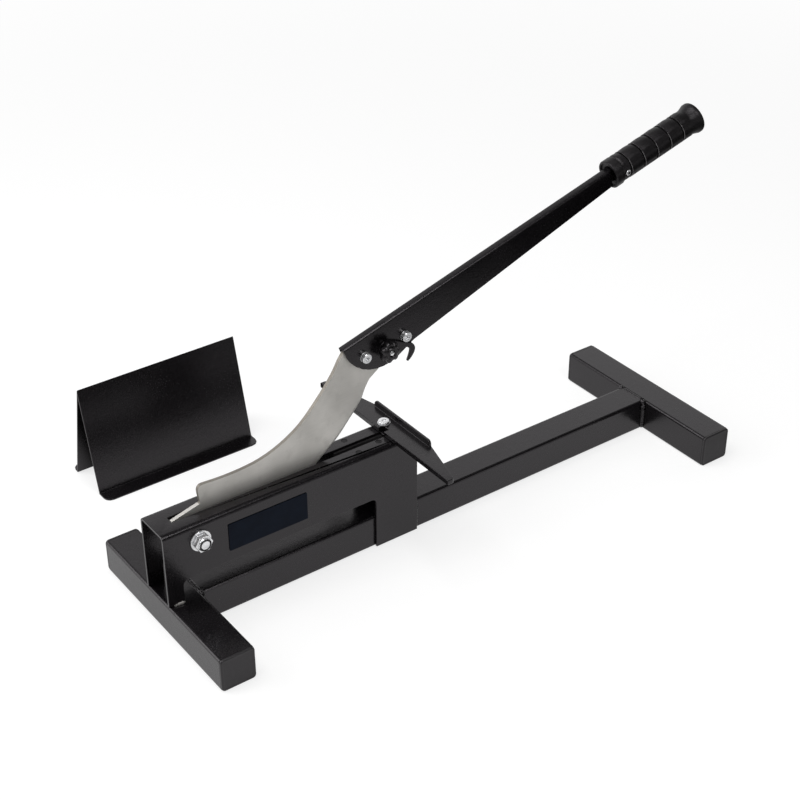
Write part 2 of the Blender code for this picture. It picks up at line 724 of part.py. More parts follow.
def build_pivot(zinc, steel):
    """Pivot bolt across the table walls with its nut, washers and the spacers inside."""
    wall = TABLE_HALF + GAP
    seat = wall + PIVOT_WASHER_THICK + GAP
    nut_face = seat + PIVOT_NUT_HEIGHT
    x, z = PIVOT_X, PIVOT_HEIGHT
    shank = prism(
        circle(PIVOT_BOLT), seat + nut_face + PIVOT_NUT_COLLAR + PIVOT_TAIL, across_frame(x, seat, z)
    )
    bolt = add_object("pivot_bolt", shank, zinc)
    head_start = seat + PIVOT_HEAD_HEIGHT
    head = prism(hexagon(PIVOT_HEAD_FLATS), PIVOT_HEAD_HEIGHT, across_frame(x, head_start, z))
    shape_with(bolt, "UNION", "head", head)
    bore = circle(PIVOT_BOLT + 2 * GAP)
    ring = circle(PIVOT_WASHER)
    for side, y in (("near", -wall), ("far", wall + PIVOT_WASHER_THICK)):
        washer = pipe(ring, bore, PIVOT_WASHER_THICK, across_frame(x, y, z))
        add_object(f"pivot_washer_{side}", washer, zinc)
    nut = add_object(
        "pivot_nut", prism(hexagon(PIVOT_NUT_FLATS), PIVOT_NUT_HEIGHT, across_frame(x, -seat, z)), zinc
    )
    collar_start = -seat - PIVOT_NUT_HEIGHT / 2
    collar_depth = PIVOT_NUT_HEIGHT / 2 + PIVOT_NUT_COLLAR
    collar_size = (PIVOT_NUT_FLATS + PIVOT_BOLT) / 2
    collar = prism(circle(collar_size), collar_depth, across_frame(x, collar_start, z))
    shape_with(nut, "UNION", "collar", collar)
    drill(nut, "thread", PIVOT_BOLT + 2 * GAP, [(x, z)], -nut_face - OVERRUN, -wall)
    length = TABLE_INSIDE - BLADE_HALF - 2 * GAP
    for name, y in (("near", -BLADE_HALF - GAP), ("far", TABLE_INSIDE - GAP)):
        spacer = pipe(circle(SPACER_DIAMETER), bore, length, across_frame(x, y, z))
        add_object(f"pivot_spacer_{name}", spacer, steel)


def build_label(navy):
    """Thin bare plate on the near wall of the table."""
    x = FRONT_X + LABEL_FROM_FRONT
    top = TABLE_HEIGHT - LABEL_BELOW_TOP
    outline = rounded_rectangle((x, top - LABEL_HEIGHT), (x + LABEL_LENGTH, top), LABEL_CORNER)
    bm = prism(outline, LABEL_THICK, side_frame(-TABLE_HALF - GAP))
    add_object("label_plate", bm, navy)


def blade_place(share):
    """World X and Z of a blade point from its shares of the blade's reach."""
    return (PIVOT_X + share[0] * BLADE_REACH, PIVOT_HEIGHT + share[1] * BLADE_REACH)


def hub_place(share):
    """World X and Z of a point of the hub from its shares of the hub's radius."""
    return (PIVOT_X + share[0] * HUB_RADIUS, PIVOT_HEIGHT + share[1] * HUB_RADIUS)


def blade_outline():
    """Outline of the blade from the side, and which of its points lie on the cutting edge."""
    hub_steps = ROUND_STEPS // 2
    centre = (PIVOT_X, PIVOT_HEIGHT)
    hub = arc(centre, HUB_RADIUS, HUB_LOW_DEGREES, HUB_HIGH_DEGREES, hub_steps)
    front = [hub_place(share) for share in HUB_FRONT_SHARES]
    hub += smooth_curve(front)
    x, z = front[-1]
    back = smooth_curve([(x + a * BLADE_REACH, z + b * BLADE_REACH) for a, b in BLADE_BACK_SHARES])
    web = LEVER_SHEET + GAP
    reach = TANG_LENGTH
    low = lever_depth(reach) - TANG_INSET
    mouth = lever_point(LEVER_HEEL_RADIUS, LEVER_HEEL_RADIUS - TANG_INSET)
    tang = [lever_point(web, web), lever_point(reach, web), lever_point(reach, low), mouth]
    tang = rounded(tang, (0, TANG_END_ROUND, TANG_END_ROUND, 0))
    edge = smooth_curve([blade_place(share) for share in BLADE_EDGE_SHARES])
    outline = hub + back + tang + edge
    first_edge = len(outline) - len(edge)
    return outline, range(first_edge, len(outline))


def blade_inset(outline, edge):
    """Outline with the cutting edge drawn in by the bevel, which fades out at both its ends."""
    inset = list(outline)
    for index in edge:
        before = Vector(outline[index - 1])
        after = Vector(outline[(index + 1) % len(outline)])
        along = (after - before).normalized()
        inward = Vector((along.y, -along.x))
        share = min(1, 4 * min(index - edge.start, edge.stop - 1 - index) / len(edge))
        inset[index] = tuple(Vector(outline[index]) + inward * BLADE_BEVEL * share)
    return inset


def blade_solid():
    """Blade plate whose faces are bevelled towards the cutting edge on both sides."""
    outline, edge = blade_outline()
    inset = blade_inset(outline, edge)
    rings = (
        (inset, BLADE_HALF),
        (outline, BLADE_LAND / 2),
        (outline, -BLADE_LAND / 2),
        (inset, -BLADE_HALF),
    )
    bm = bmesh.new()
    loops = [[bm.verts.new((x, y, z)) for x, z in points] for points, y in rings]
    for upper, lower in zip(loops, loops[1:]):
        for index in range(len(upper)):
            bm.faces.new((upper[index - 1], upper[index], lower[index], lower[index - 1]))
    bm.faces.new(loops[0])
    bm.faces.new(list(reversed(loops[-1])))
    bmesh.ops.recalc_face_normals(bm, faces=bm.faces)
    return bm


def build_blade(steel, bronze, pivot):
    """Blade with its hub, and the bush pressed in the hub."""
    blade = add_object("blade", blade_solid(), steel, pivot)
    hub_bore = [(PIVOT_X, PIVOT_HEIGHT)]
    wide = BLADE_THICK + OVERRUN
    drill(blade, "hub_bore", BUSH_DIAMETER + 2 * GAP, hub_bore, -wide, wide)
    tang_holes = [*bolt_places(), lever_point(STUD_U, STUD_V)]
    drill(blade, "tang_holes", LEVER_BOLT + 2 * GAP, tang_holes, -wide, wide, SMALL_STEPS)
    bush_bore = circle(PIVOT_BOLT + 2 * GAP)
    frame = across_frame(PIVOT_X, BLADE_HALF, PIVOT_HEIGHT)
    bush = pipe(circle(BUSH_DIAMETER), bush_bore, BLADE_THICK, frame)
    add_object("blade_bush", bush, bronze, pivot)


def lever_depth(u):
    """Depth of the lever's wall below its top edge, between the ramp and the grip."""
    share = (u - LEVER_RAMP_END) / (GRIP_START - LEVER_RAMP_END)
    return LEVER_ROOT_DEPTH + (LEVER_NECK_DEPTH - LEVER_ROOT_DEPTH) * share


def lever_outline():
    """Lever seen from the side, in u and v: rounded heel, ramp, long taper and narrow tang."""
    heel = arc((LEVER_HEEL_RADIUS, LEVER_HEEL_DROP), LEVER_HEEL_RADIUS, 180, 90, 8)
    bottom = LEVER_HEEL_DROP + LEVER_HEEL_RADIUS
    neck = GRIP_START - GAP
    corners = [(0, -OVERRUN), *heel, (LEVER_HEEL_RADIUS + LEVER_HEEL_FLAT, bottom)]
    corners += [(LEVER_RAMP_END, LEVER_ROOT_DEPTH), (neck, LEVER_NECK_DEPTH)]
    corners += [(neck, LEVER_TANG_DEPTH), (LEVER_LENGTH, LEVER_TANG_DEPTH)]
    corners.append((LEVER_LENGTH, -OVERRUN))
    ramp = LEVER_RAMP_ROUND
    radii = [0] * (1 + len(heel)) + [ramp, 2 * ramp, 0, 0, 0, 0]
    return [lever_point(u, v) for u, v in rounded(corners, radii)]


def lever_section():
    """Folded lever seen along its length: outline in Y and in depth below the top edge."""
    depth = LEVER_HEEL_DROP + LEVER_HEEL_RADIUS + OVERRUN
    outer = [(-LEVER_HALF, -depth), (-LEVER_HALF, 0), (LEVER_HALF, 0), (LEVER_HALF, -depth)]
    inner = [(LEVER_INSIDE, -depth), (LEVER_INSIDE, -LEVER_SHEET)]
    inner += [(-LEVER_INSIDE, -LEVER_SHEET), (-LEVER_INSIDE, -depth)]
    return rounded(outer + inner, (0, LEVER_BEND, LEVER_BEND, 0, 0, 0, 0, 0))


def build_lever(paint, zinc, pivot):
    """Folded lever with the bolts, washers and nuts that clamp the blade's tang in it."""
    along = lever_direction()
    heel_x, heel_z = lever_point(0, 0)
    up = Vector((0, 1, 0)).cross(along) * -1
    frame = frame_of(Vector((heel_x, 0, heel_z)) - along * OVERRUN, (0, 1, 0), up)
    bm = prism(lever_section(), LEVER_LENGTH + 2 * OVERRUN, frame)
    lever = add_object("lever_channel", bm, paint, pivot)
    width = 2 * (LEVER_HALF + OVERRUN)
    shape_with(lever, "INTERSECT", "outline", prism(lever_outline(), width, side_frame(width / 2)))
    places = [*bolt_places(), lever_point(STUD_U, STUD_V)]
    side = width / 2
    drill(lever, "bolt_holes", LEVER_BOLT + 2 * GAP, places, -side, side, SMALL_STEPS)
    screw = [lever_point(GRIP_START + GRIP_SCREW_FROM_END, LEVER_AXIS_V)]
    drill(lever, "screw_hole", GRIP_SCREW + 2 * GAP, screw, -side, -LEVER_INSIDE / 2, SMALL_STEPS)
    for place, (x, z) in zip(("front", "rear"), bolt_places()):
        build_lever_bolt(place, x, z, zinc, pivot)


def build_lever_bolt(place, x, z, zinc, pivot):
    """One bolt across the lever and the blade's tang, with its washers and its nut."""
    wall = LEVER_HALF + GAP
    seat = wall + LEVER_WASHER_THICK + GAP
    bore = circle(LEVER_BOLT + 2 * GAP, SMALL_STEPS)
    disc = circle(LEVER_WASHER, SMALL_STEPS)
    for side, y in (("near", -wall), ("far", wall + LEVER_WASHER_THICK)):
        washer = pipe(disc, bore, LEVER_WASHER_THICK, across_frame(x, y, z))
        add_object(f"lever_washer_{place}_{side}", washer, zinc, pivot)
    tail = seat + LEVER_NUT_HEIGHT + LEVER_WASHER_THICK
    bolt = turned(cap_bolt_profile(seat + tail), across_frame(x, tail, z), SMALL_STEPS)
    add_object(f"lever_bolt_{place}", bolt, zinc, pivot)
    frame = across_frame(x, seat + LEVER_NUT_HEIGHT, z)
    nut = hex_nut(LEVER_NUT_FLATS, LEVER_BOLT, LEVER_NUT_HEIGHT, frame)
    add_object(f"lever_nut_{place}", nut, zinc, pivot)


def cap_bolt_profile(length):
    """Socket cap bolt: a shank of this length, then a tall round head with its socket."""
    shank = LEVER_BOLT / 2
    head = LEVER_BOLT_HEAD / 2
    top = length + LEVER_BOLT_HEAD_HEIGHT
    chamfer = LEVER_BOLT_HEAD_HEIGHT / 8
    socket = LEVER_BOLT_SOCKET / 2
    floor = top - LEVER_BOLT_SOCKET_DEPTH
    profile = [(0, 0), (shank, 0), (shank, length), (head, length), (head, top - chamfer)]
    return [*profile, (head - chamfer, top), (socket, top), (socket, floor), (0, floor)]


def build_grip(rubber, zinc, pivot):
    """Ribbed grip pushed over the lever's tang, and the small screw that keeps it there."""
    along = lever_direction()
    start_x, start_z = lever_point(GRIP_START, LEVER_AXIS_V)
    frame = frame_of((start_x, 0, start_z), (0, 1, 0), along.cross(Vector((0, 1, 0))))
    grip = add_object("grip", turned(grip_profile(), frame), rubber, pivot)
    low = (-LEVER_HALF - GAP, -LEVER_AXIS_V - GAP)
    high = (LEVER_HALF + GAP, LEVER_AXIS_V + GAP)
    depth = LEVER_LENGTH - GRIP_START + GAP + OVERRUN
    mouth = frame_of(Vector((start_x, 0, start_z)) - along * OVERRUN, *frame_axes(frame))
    shape_with(grip, "DIFFERENCE", "tang_bore", prism(rectangle(low, high), depth, mouth))
    x, z = lever_point(GRIP_START + GRIP_SCREW_FROM_END, LEVER_AXIS_V)
    outside = GRIP_DIAMETER / 2
    hole = [(x, z)]
    drill(grip, "screw_hole", GRIP_SCREW + 2 * GAP, hole, -outside - OVERRUN, 0, SMALL_STEPS)
    seat = -outside - GAP
    tip = -LEVER_INSIDE - GAP
    profile = [(0, 0), (GRIP_SCREW / 2, 0), (GRIP_SCREW / 2, tip - seat)]
    head = GRIP_SCREW_HEAD / 2
    top = tip - seat + GRIP_SCREW_HEAD_HEIGHT
    profile += [(head, tip - seat), (head, top - GRIP_SCREW_HEAD_HEIGHT / 2), (head / 2, top), (0, top)]
    screw = turned(profile, across_frame(x, tip, z), SMALL_STEPS)
    add_object("grip_screw", screw, zinc, pivot)


def frame_axes(frame):
    """The first two axes of a frame, as frame_of takes them."""
    return frame.col[0].to_3d(), frame.col[1].to_3d()


def grip_profile():
    """Grip turned outline as radius and distance from its near end, with its ring grooves."""
    radius = GRIP_DIAMETER / 2
    collar = GRIP_COLLAR / 2
    flare = GRIP_FLARE / 2
    dip = GRIP_GROOVE_DEPTH
    profile = [(0, 0), (collar - dip, 0), (collar, dip), (collar, GRIP_COLLAR_LENGTH - dip)]
    profile.append((radius, GRIP_COLLAR_LENGTH))
    first = GRIP_COLLAR_LENGTH + GRIP_GROOVE_PITCH / 2
    for index in range(GRIP_GROOVES):
        start = first + index * GRIP_GROOVE_PITCH
        end = start + GRIP_GROOVE_WIDTH
        profile += [(radius, start), (radius - dip, start + dip), (radius - dip, end - dip)]
        profile.append((radius, end))
    rim = GRIP_LENGTH - GRIP_FLARE_RIM
    profile += [(radius, GRIP_LENGTH - GRIP_FLARE_LENGTH), (flare, rim)]
    profile += [(flare, GRIP_LENGTH - dip), (flare - dip, GRIP_LENGTH), (GRIP_END_RADIUS, GRIP_LENGTH)]
    return [*profile, (0, GRIP_LENGTH)]


def hook_outline(x, z):
    """Hook seen from the near side: an eye on the stud, an arm and a claw that curls down."""
    eye = arc((x, z), HOOK_EYE_RADIUS, HOOK_EYE_LOW_DEGREES, HOOK_EYE_HIGH_DEGREES, ROUND_STEPS // 2)
    back = [(x + a * HOOK_REACH, z + b * HOOK_REACH) for a, b in HOOK_BACK_SHARES]
    claw = [(x + a * HOOK_REACH, z + b * HOOK_REACH) for a, b in HOOK_CLAW_SHARES]
    return eye + smooth_curve(back) + smooth_curve(claw)


def knob_outline(diameter):
    """Lobed outline of the knob for a given diameter over its lobes."""
    steps = KNOB_LOBES * 6
    points = []
    for step in range(steps):
        angle = math.radians(360 * step / steps)
        radius = diameter / 2 - KNOB_LOBE_DEPTH * (1 - math.cos(KNOB_LOBES * angle)) / 2
        points.append((radius * math.cos(angle), radius * math.sin(angle)))
    return points


def build_latch(steel, paint, plastic, pivot):
    """Stud through the lever, the hook that swings on it and the lobed knob that clamps it."""
    x, z = lever_point(STUD_U, STUD_V)
    wall = LEVER_HALF + GAP
    hook_face = wall + HOOK_THICK
    knob_back = hook_face + GAP
    knob_front = knob_back + KNOB_BOSS_LENGTH + KNOB_HEAD_LENGTH
    stud_end = knob_front - KNOB_RECESS_DEPTH
    stud_depth = wall + stud_end
    shank = prism(circle(STUD, SMALL_STEPS), stud_depth, across_frame(x, wall, z))
    stud = add_object("latch_stud", shank, steel, pivot)
    head_frame = across_frame(x, wall + STUD_HEAD_HEIGHT, z)
    shape_with(
        stud, "UNION", "head", prism(hexagon(STUD_HEAD_FLATS), STUD_HEAD_HEIGHT, head_frame)
    )
    hook_axis = axis_empty("latch_hook_axis", (x, 0, z), pivot)
    hook = prism(hook_outline(x, z), HOOK_THICK, side_frame(-wall))
    hook = add_object("latch_hook", hook, paint, hook_axis)
    bore = STUD + 2 * GAP
    drill(hook, "eye", bore, [(x, z)], -hook_face - OVERRUN, -wall + OVERRUN, SMALL_STEPS)
    knob_axis = axis_empty("latch_knob_axis", (x, 0, z), pivot)
    body_start = -knob_back - KNOB_BOSS_LENGTH
    body = prism(knob_outline(KNOB_DIAMETER), KNOB_HEAD_LENGTH, across_frame(x, body_start, z))
    knob = add_object("latch_knob", body, plastic, knob_axis)
    boss_depth = KNOB_BOSS_LENGTH + KNOB_HEAD_LENGTH / 2
    boss = prism(circle(KNOB_BOSS, SMALL_STEPS), boss_depth, across_frame(x, -knob_back, z))
    shape_with(knob, "UNION", "boss", boss)
    drill(knob, "thread", bore, [(x, z)], -knob_front - OVERRUN, -wall, SMALL_STEPS)
    recess_end = -knob_front + KNOB_RECESS_DEPTH
    recess = [(x, z)]
    drill(knob, "recess", KNOB_RECESS, recess, -knob_front - OVERRUN, recess_end, SMALL_STEPS)


def support_section():
    """Folded sheet seen along the spine: a flange, two steep legs that meet, and a flange."""
    sheet = SUPPORT_SHEET
    half = SUPPORT_SPREAD / 2
    near = -half - SUPPORT_NEAR_FLANGE
    far = half + SUPPORT_FAR_FLANGE
    top = TABLE_HEIGHT
    lean = half / top
    thick = sheet * math.hypot(1, lean)
    bend = half - sheet * lean
    reach = half - thick
    outer = [(near, sheet), (-bend, sheet), (0, top), (bend, sheet), (far, sheet)]
    inner = [(far, 0), (reach, 0), (0, top - thick / lean), (-reach, 0), (near, 0)]
    return [(SUPPORT_RIDGE_Y + y, z) for y, z in outer + inner]


def build_support(paint):
    """Loose support of folded sheet, as high as the table, with rounded flange corners."""
    start = FRONT_X + SUPPORT_FROM_FRONT
    bm = prism(support_section(), SUPPORT_LENGTH, end_frame(start))
    support = add_object("v_support", bm, paint)
    half = SUPPORT_SPREAD / 2
    low = (start, SUPPORT_RIDGE_Y - half - SUPPORT_NEAR_FLANGE)
    high = (start + SUPPORT_LENGTH, SUPPORT_RIDGE_Y + half + SUPPORT_FAR_FLANGE)
    plan = prism(
        rounded_rectangle(low, high, SUPPORT_CORNER),
        TABLE_HEIGHT + 2 * OVERRUN,
        plan_frame(-OVERRUN),
    )
    shape_with(support, "INTERSECT", "plan", plan)


def build():
    """Model the whole cutter and the loose support."""
    clear_scene()
    paint = finish("black_powder_coat", (0.012, 0.012, 0.013), 0.0, 0.38)
    plastic = finish("black_plastic", (0.014, 0.014, 0.014), 0.0, 0.5)
    rubber = finish("black_rubber", (0.011, 0.011, 0.011), 0.0, 0.6)
    zinc = finish("zinc_plate", (0.62, 0.62, 0.61), 1.0, 0.28)
    blade_steel = finish("blade_steel", (0.36, 0.355, 0.34), 0.85, 0.42)
    steel = finish("plain_steel", (0.35, 0.35, 0.35), 1.0, 0.4)
    bronze = finish("bronze", (0.45, 0.30, 0.14), 1.0, 0.35)
    nylon = finish("dark_nylon", (0.03, 0.03, 0.03), 0.0, 0.55)
    navy = finish("label_navy", (0.006, 0.010, 0.022), 0.0, 0.35)
    build_foot("front", FRONT_X + HALF_TUBE, paint, plastic)
    build_foot("rear", REAR_X - HALF_TUBE, paint, plastic)
    build_spine(paint)
    build_table(paint)
    build_guides(steel, nylon)
    build_fence(paint, zinc)
    build_pivot(zinc, steel)
    build_label(navy)
    pivot = axis_empty("lever_axis", PIVOT_PLACE)
    build_blade(blade_steel, bronze, pivot)
    build_lever(paint, zinc, pivot)
    build_grip(rubber, zinc, pivot)
    build_latch(steel, paint, plastic, pivot)
    build_support(paint)


build()
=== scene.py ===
"""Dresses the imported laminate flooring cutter: coated steel, ground blade, zinc, rubber and plastic.

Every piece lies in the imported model's own frame, in metres, with +X along the spine towards the
rear foot and the near side of the cutter facing -Y.
"""

import logging
import math
import random
from collections.abc import Callable, Iterable, Sequence
from dataclasses import dataclass
from enum import Enum

import bmesh
import bpy
from bmesh.types import BMEdge, BMesh, BMFace, BMVert
from bpy.types import Material, NodeSocket, Object, World
from mathutils import Matrix, Vector


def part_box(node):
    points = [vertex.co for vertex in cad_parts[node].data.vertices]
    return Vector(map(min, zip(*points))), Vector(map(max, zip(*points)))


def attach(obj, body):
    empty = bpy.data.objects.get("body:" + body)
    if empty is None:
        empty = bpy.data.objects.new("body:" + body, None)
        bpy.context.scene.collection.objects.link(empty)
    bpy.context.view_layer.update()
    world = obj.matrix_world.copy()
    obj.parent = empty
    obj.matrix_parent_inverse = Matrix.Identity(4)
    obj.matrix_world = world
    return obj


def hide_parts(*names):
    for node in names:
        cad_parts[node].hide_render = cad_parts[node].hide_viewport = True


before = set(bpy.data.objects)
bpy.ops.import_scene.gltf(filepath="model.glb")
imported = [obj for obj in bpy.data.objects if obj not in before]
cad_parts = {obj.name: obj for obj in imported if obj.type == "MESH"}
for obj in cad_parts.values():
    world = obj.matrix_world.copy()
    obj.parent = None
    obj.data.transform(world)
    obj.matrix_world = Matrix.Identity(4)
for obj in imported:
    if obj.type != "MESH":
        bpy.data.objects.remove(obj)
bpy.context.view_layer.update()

log = logging.getLogger("flooring_cutter")

MERGE = 0.00001
FLAT_DEGREES = 0.6
SHARP_DEGREES = 32

Color = tuple[float, float, float]
Point = tuple[float, float, float]
Pair = tuple[float, float]
WARM_GLOSS: Color = (1.0, 0.945, 0.99)


class Body(Enum):
    """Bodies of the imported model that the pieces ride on."""

    BASE = "base"
    LEVER = "lever"
    HOOK = "latch_hook"
    KNOB = "latch_knob"
    SUPPORT = "v_support"


class Slot(Enum):
    """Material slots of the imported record."""

    COAT = "powder_coat"
    PLASTIC = "black_plastic"
    RUBBER = "black_rubber"
    ZINC = "zinc_plate"
    BLADE = "blade_steel"
    STEEL = "plain_steel"
    BRONZE = "bronze"
    NYLON = "dark_nylon"
    LABEL = "label_navy"


class Wire:
    """A node's output that can stand in a sum, a difference or a product."""

    def __init__(self, loom: "Loom", socket: NodeSocket) -> None:
        """Hold the loom that made the output and the output itself."""
        self.loom = loom
        self.socket = socket

    def _with(self, operation: str, left: "Wire | float", right: "Wire | float") -> "Wire":
        """Math node of two terms, by the name of its operation."""
        return self.loom.node("ShaderNodeMath", {0: left, 1: right}, operation=operation)

    def __add__(self, other: "Wire | float") -> "Wire":
        """Sum, in either order."""
        return self._with("ADD", self, other)

    def __mul__(self, other: "Wire | float") -> "Wire":
        """Product, in either order."""
        return self._with("MULTIPLY", self, other)

    def __sub__(self, other: "Wire | float") -> "Wire":
        """Difference."""
        return self._with("SUBTRACT", self, other)

    def __rsub__(self, other: float) -> "Wire":
        """Difference from a number."""
        return self._with("SUBTRACT", other, self)

    __radd__ = __add__
    __rmul__ = __mul__


class Loom:
    """Makes the nodes and links of a material or of the studio's surroundings."""

    def __init__(
        self,
        owner: Material | World,
        shader: str = "Principled BSDF",
        coordinates: str = "Object",
    ) -> None:
        """Take the owner's tree with its shader and its coordinates.

        Args:
            owner: The new material or world.
            shader: Name of the shader node that it starts with.
            coordinates: Texture coordinates that its patterns lie in.
        """
        owner.use_nodes = True
        self.tree = owner.node_tree
        self.shader = self.tree.nodes[shader]
        self.place = self.node("ShaderNodeTexCoord", output=coordinates)

    def node(
        self,
        kind: str,
        inputs: dict[str | int, object] | None = None,
        output: str | int = 0,
        **settings: str,
    ) -> Wire:
        """Add one node.

        Args:
            kind: Type of the node.
            inputs: Values or wires of its sockets.
            output: Which output to hand back.
            settings: Attributes that are set first, such as a Math node's operation.

        Returns:
            The wire of that output.
        """
        node = self.tree.nodes.new(kind)
        for key, value in settings.items():
            setattr(node, key, value)
        for key, value in (inputs or {}).items():
            self._feed(node.inputs[key], value)
        return Wire(self, node.outputs[output])

    def _feed(self, socket: NodeSocket, value: object) -> None:
        """Link a wire to a socket, or set the socket's own number, vector or colour."""
        if isinstance(value, Wire):
            self.tree.links.new(value.socket, socket)
        else:
            socket.default_value = value

    def noise(self, scale: float, detail: float = 2, stretch: Sequence[float] = (1, 1, 1)) -> Wire:
        """Cloudy pattern over the piece.

        Args:
            scale: Repeats in a metre.
            detail: Finer layers in the pattern.
            stretch: How much denser the pattern is along each axis.

        Returns:
            A value about one half.
        """
        place = self.node("ShaderNodeMapping", {"Vector": self.place, "Scale": stretch})
        sockets = {"Vector": place, "Scale": scale, "Detail": detail}
        return self.node("ShaderNodeTexNoise", sockets)

    def cells(self, scale: float) -> Wire:
        """Distance to scattered points, for grains and specks."""
        return self.node("ShaderNodeTexVoronoi", {"Vector": self.place, "Scale": scale})

    def band(self, value: Wire, low: float, high: float) -> Wire:
        """The value stretched so that low becomes nought and high becomes one."""
        sockets = {"Value": value, "From Min": low, "From Max": high}
        return self.node("ShaderNodeMapRange", sockets)

    def blend(self, share: Wire, first: Color, second: Color) -> Wire:
        """Colour between two colours, by a share that is held between nought and one."""
        sockets = {0: share, 6: (*first, 1), 7: (*second, 1)}
        return self.node("ShaderNodeMix", sockets, 2, data_type="RGBA")

    def bump(self, height: Wire, depth: float) -> None:
        """Let a height pattern of this depth in metres shape the shader's normal."""
        self.set(Normal=self.node("ShaderNodeBump", {"Height": height, "Distance": depth}))

    def set(self, **values: object) -> None:
        """Set or link the shader's sockets; an underscore stands for a space in a name."""
        for name, value in values.items():
            self._feed(self.shader.inputs[name.replace("_", " ")], value)


@dataclass(frozen=True)
class Look:
    """A material with the record's slot that it stands for."""

    material: Material
    slot: Slot


@dataclass(frozen=True)
class Finish:
    """A finish of one kind; the kinds differ in what they weave."""

    name: str

    def weave(self, loom: Loom) -> None:
        """Set the shader's sockets."""
        raise NotImplementedError

    def build(self, slot: Slot) -> Look:
        """Make the material.

        Args:
            slot: The record's slot that it stands for.

        Returns:
            The material with its slot.
        """
        material = bpy.data.materials.new(self.name)
        self.weave(Loom(material))
        return Look(material, slot)


@dataclass(frozen=True)
class Coating(Finish):
    """Semi-gloss black powder coat with a fine orange peel."""

    name: str = "powder_coat_black"
    dark: Color = (0.0026, 0.0022, 0.0027)
    light: Color = (0.0070, 0.0062, 0.0071)
    roughness: float = 0.23
    roughness_swing: float = 0.10
    peel_swing: float = 0.24
    cloud_scale: float = 14.0
    peel_scale: float = 620.0
    peel_depth: float = 0.00008
    speck_scale: float = 260.0
    patch_scale: float = 40.0

    def weave(self, loom: Loom) -> None:
        """Set the shader's sockets."""
        cloud = loom.noise(self.cloud_scale, 4)
        peel = loom.noise(self.peel_scale, 2)
        ripple = loom.noise(self.peel_scale / 4, 2)
        specks = loom.band(loom.cells(self.speck_scale), 0.10, 0.04)
        dust = specks * loom.band(loom.noise(self.patch_scale, 1), 0.60, 0.72)
        tone = loom.band(cloud, 0.3, 0.7) * 0.7 + dust * 0.3
        rough = self.roughness + self.roughness_swing * (cloud - 0.5)
        loom.set(
            Base_Color=loom.blend(tone, self.dark, self.light),
            Roughness=rough + self.peel_swing * (peel - 0.5),
            Specular_Tint=(*WARM_GLOSS, 1),
        )
        loom.bump(peel * 0.75 + ripple * 0.9 + dust * 0.4, self.peel_depth)


@dataclass(frozen=True)
class GroundSteel(Finish):
    """Satin ground blade with fine grinding lines, faint clouds and handling marks."""

    name: str = "ground_blade_steel"
    pale: Color = (0.70, 0.68, 0.645)
    dull: Color = (0.52, 0.505, 0.475)
    roughness: float = 0.46
    metal: float = 0.62
    cloud_scale: float = 26.0
    stain_scale: float = 60.0
    line_scale: float = 55.0
    line_depth: float = 0.00003

    def weave(self, loom: Loom) -> None:
        """Set the shader's sockets."""
        lines = loom.noise(self.line_scale, 4, stretch=(1.2, 1.2, 26))
        fine = loom.noise(self.line_scale * 9, 2, stretch=(1, 1, 6))
        cloud = loom.noise(self.cloud_scale, 5)
        stain = loom.band(loom.noise(self.stain_scale, 3), 0.56, 0.74)
        tone = loom.band(cloud, 0.36, 0.68) * 0.6 + (lines - 0.5) * 0.5 + stain * 0.45
        loom.set(
            Base_Color=loom.blend(tone, self.pale, self.dull),
            Metallic=self.metal,
            Roughness=self.roughness + 0.16 * (cloud - 0.5) + 0.12 * (lines - 0.5) + stain * 0.06,
        )
        loom.bump(lines * 0.7 + fine * 0.5, self.line_depth)


@dataclass(frozen=True)
class ZincPlate(Finish):
    """Bright zinc plate, slightly clouded, with tiny scuffs."""

    name: str = "bright_zinc"
    pale: Color = (0.94, 0.94, 0.95)
    dull: Color = (0.62, 0.63, 0.65)
    roughness: float = 0.18
    metal: float = 0.82
    cloud_scale: float = 240.0
    scuff_scale: float = 900.0
    scuff_depth: float = 0.00002

    def weave(self, loom: Loom) -> None:
        """Set the shader's sockets."""
        cloud = loom.noise(self.cloud_scale, 4)
        scuffs = loom.noise(self.scuff_scale, 3, stretch=(1, 1, 5))
        tone = loom.band(cloud, 0.35, 0.7) * 0.7 + loom.band(scuffs, 0.5, 0.8) * 0.3
        loom.set(
            Base_Color=loom.blend(tone, self.pale, self.dull),
            Metallic=self.metal,
            Roughness=self.roughness + 0.14 * cloud * scuffs + 0.05 * scuffs,
        )
        loom.bump(scuffs * 0.6 + cloud * 0.6, self.scuff_depth)


@dataclass(frozen=True)
class Clouded(Finish):
    """Clouds and fine marks, by default those of machined steel."""

    name: str = "machined_steel"
    clear: Color = (0.46, 0.45, 0.43)
    cloudy: Color = (0.26, 0.25, 0.24)
    metal: float = 1.0
    specular: float = 0.5
    roughness: float = 0.34
    cloud_scale: float = 150.0
    cloud_detail: float = 4.0
    cloud_rough: float = 0.2
    cloud_height: float = 0.4
    mark_scale: float = 1300.0
    mark_rough: float = 0.1
    mark_height: float = 0.8
    depth: float = 0.00002

    def weave(self, loom: Loom) -> None:
        """Set the shader's sockets."""
        cloud = loom.noise(self.cloud_scale, self.cloud_detail)
        marks = loom.noise(self.mark_scale, 2)
        tone = loom.band(cloud, 0.35, 0.68) * 0.8 + marks * 0.2
        loom.set(
            Base_Color=loom.blend(tone, self.clear, self.cloudy),
            Metallic=self.metal,
            Roughness=self.roughness + self.cloud_rough * (cloud - 0.5) + self.mark_rough * marks,
            Specular_IOR_Level=self.specular,
        )
        loom.bump(marks * self.mark_height + cloud * self.cloud_height, self.depth)


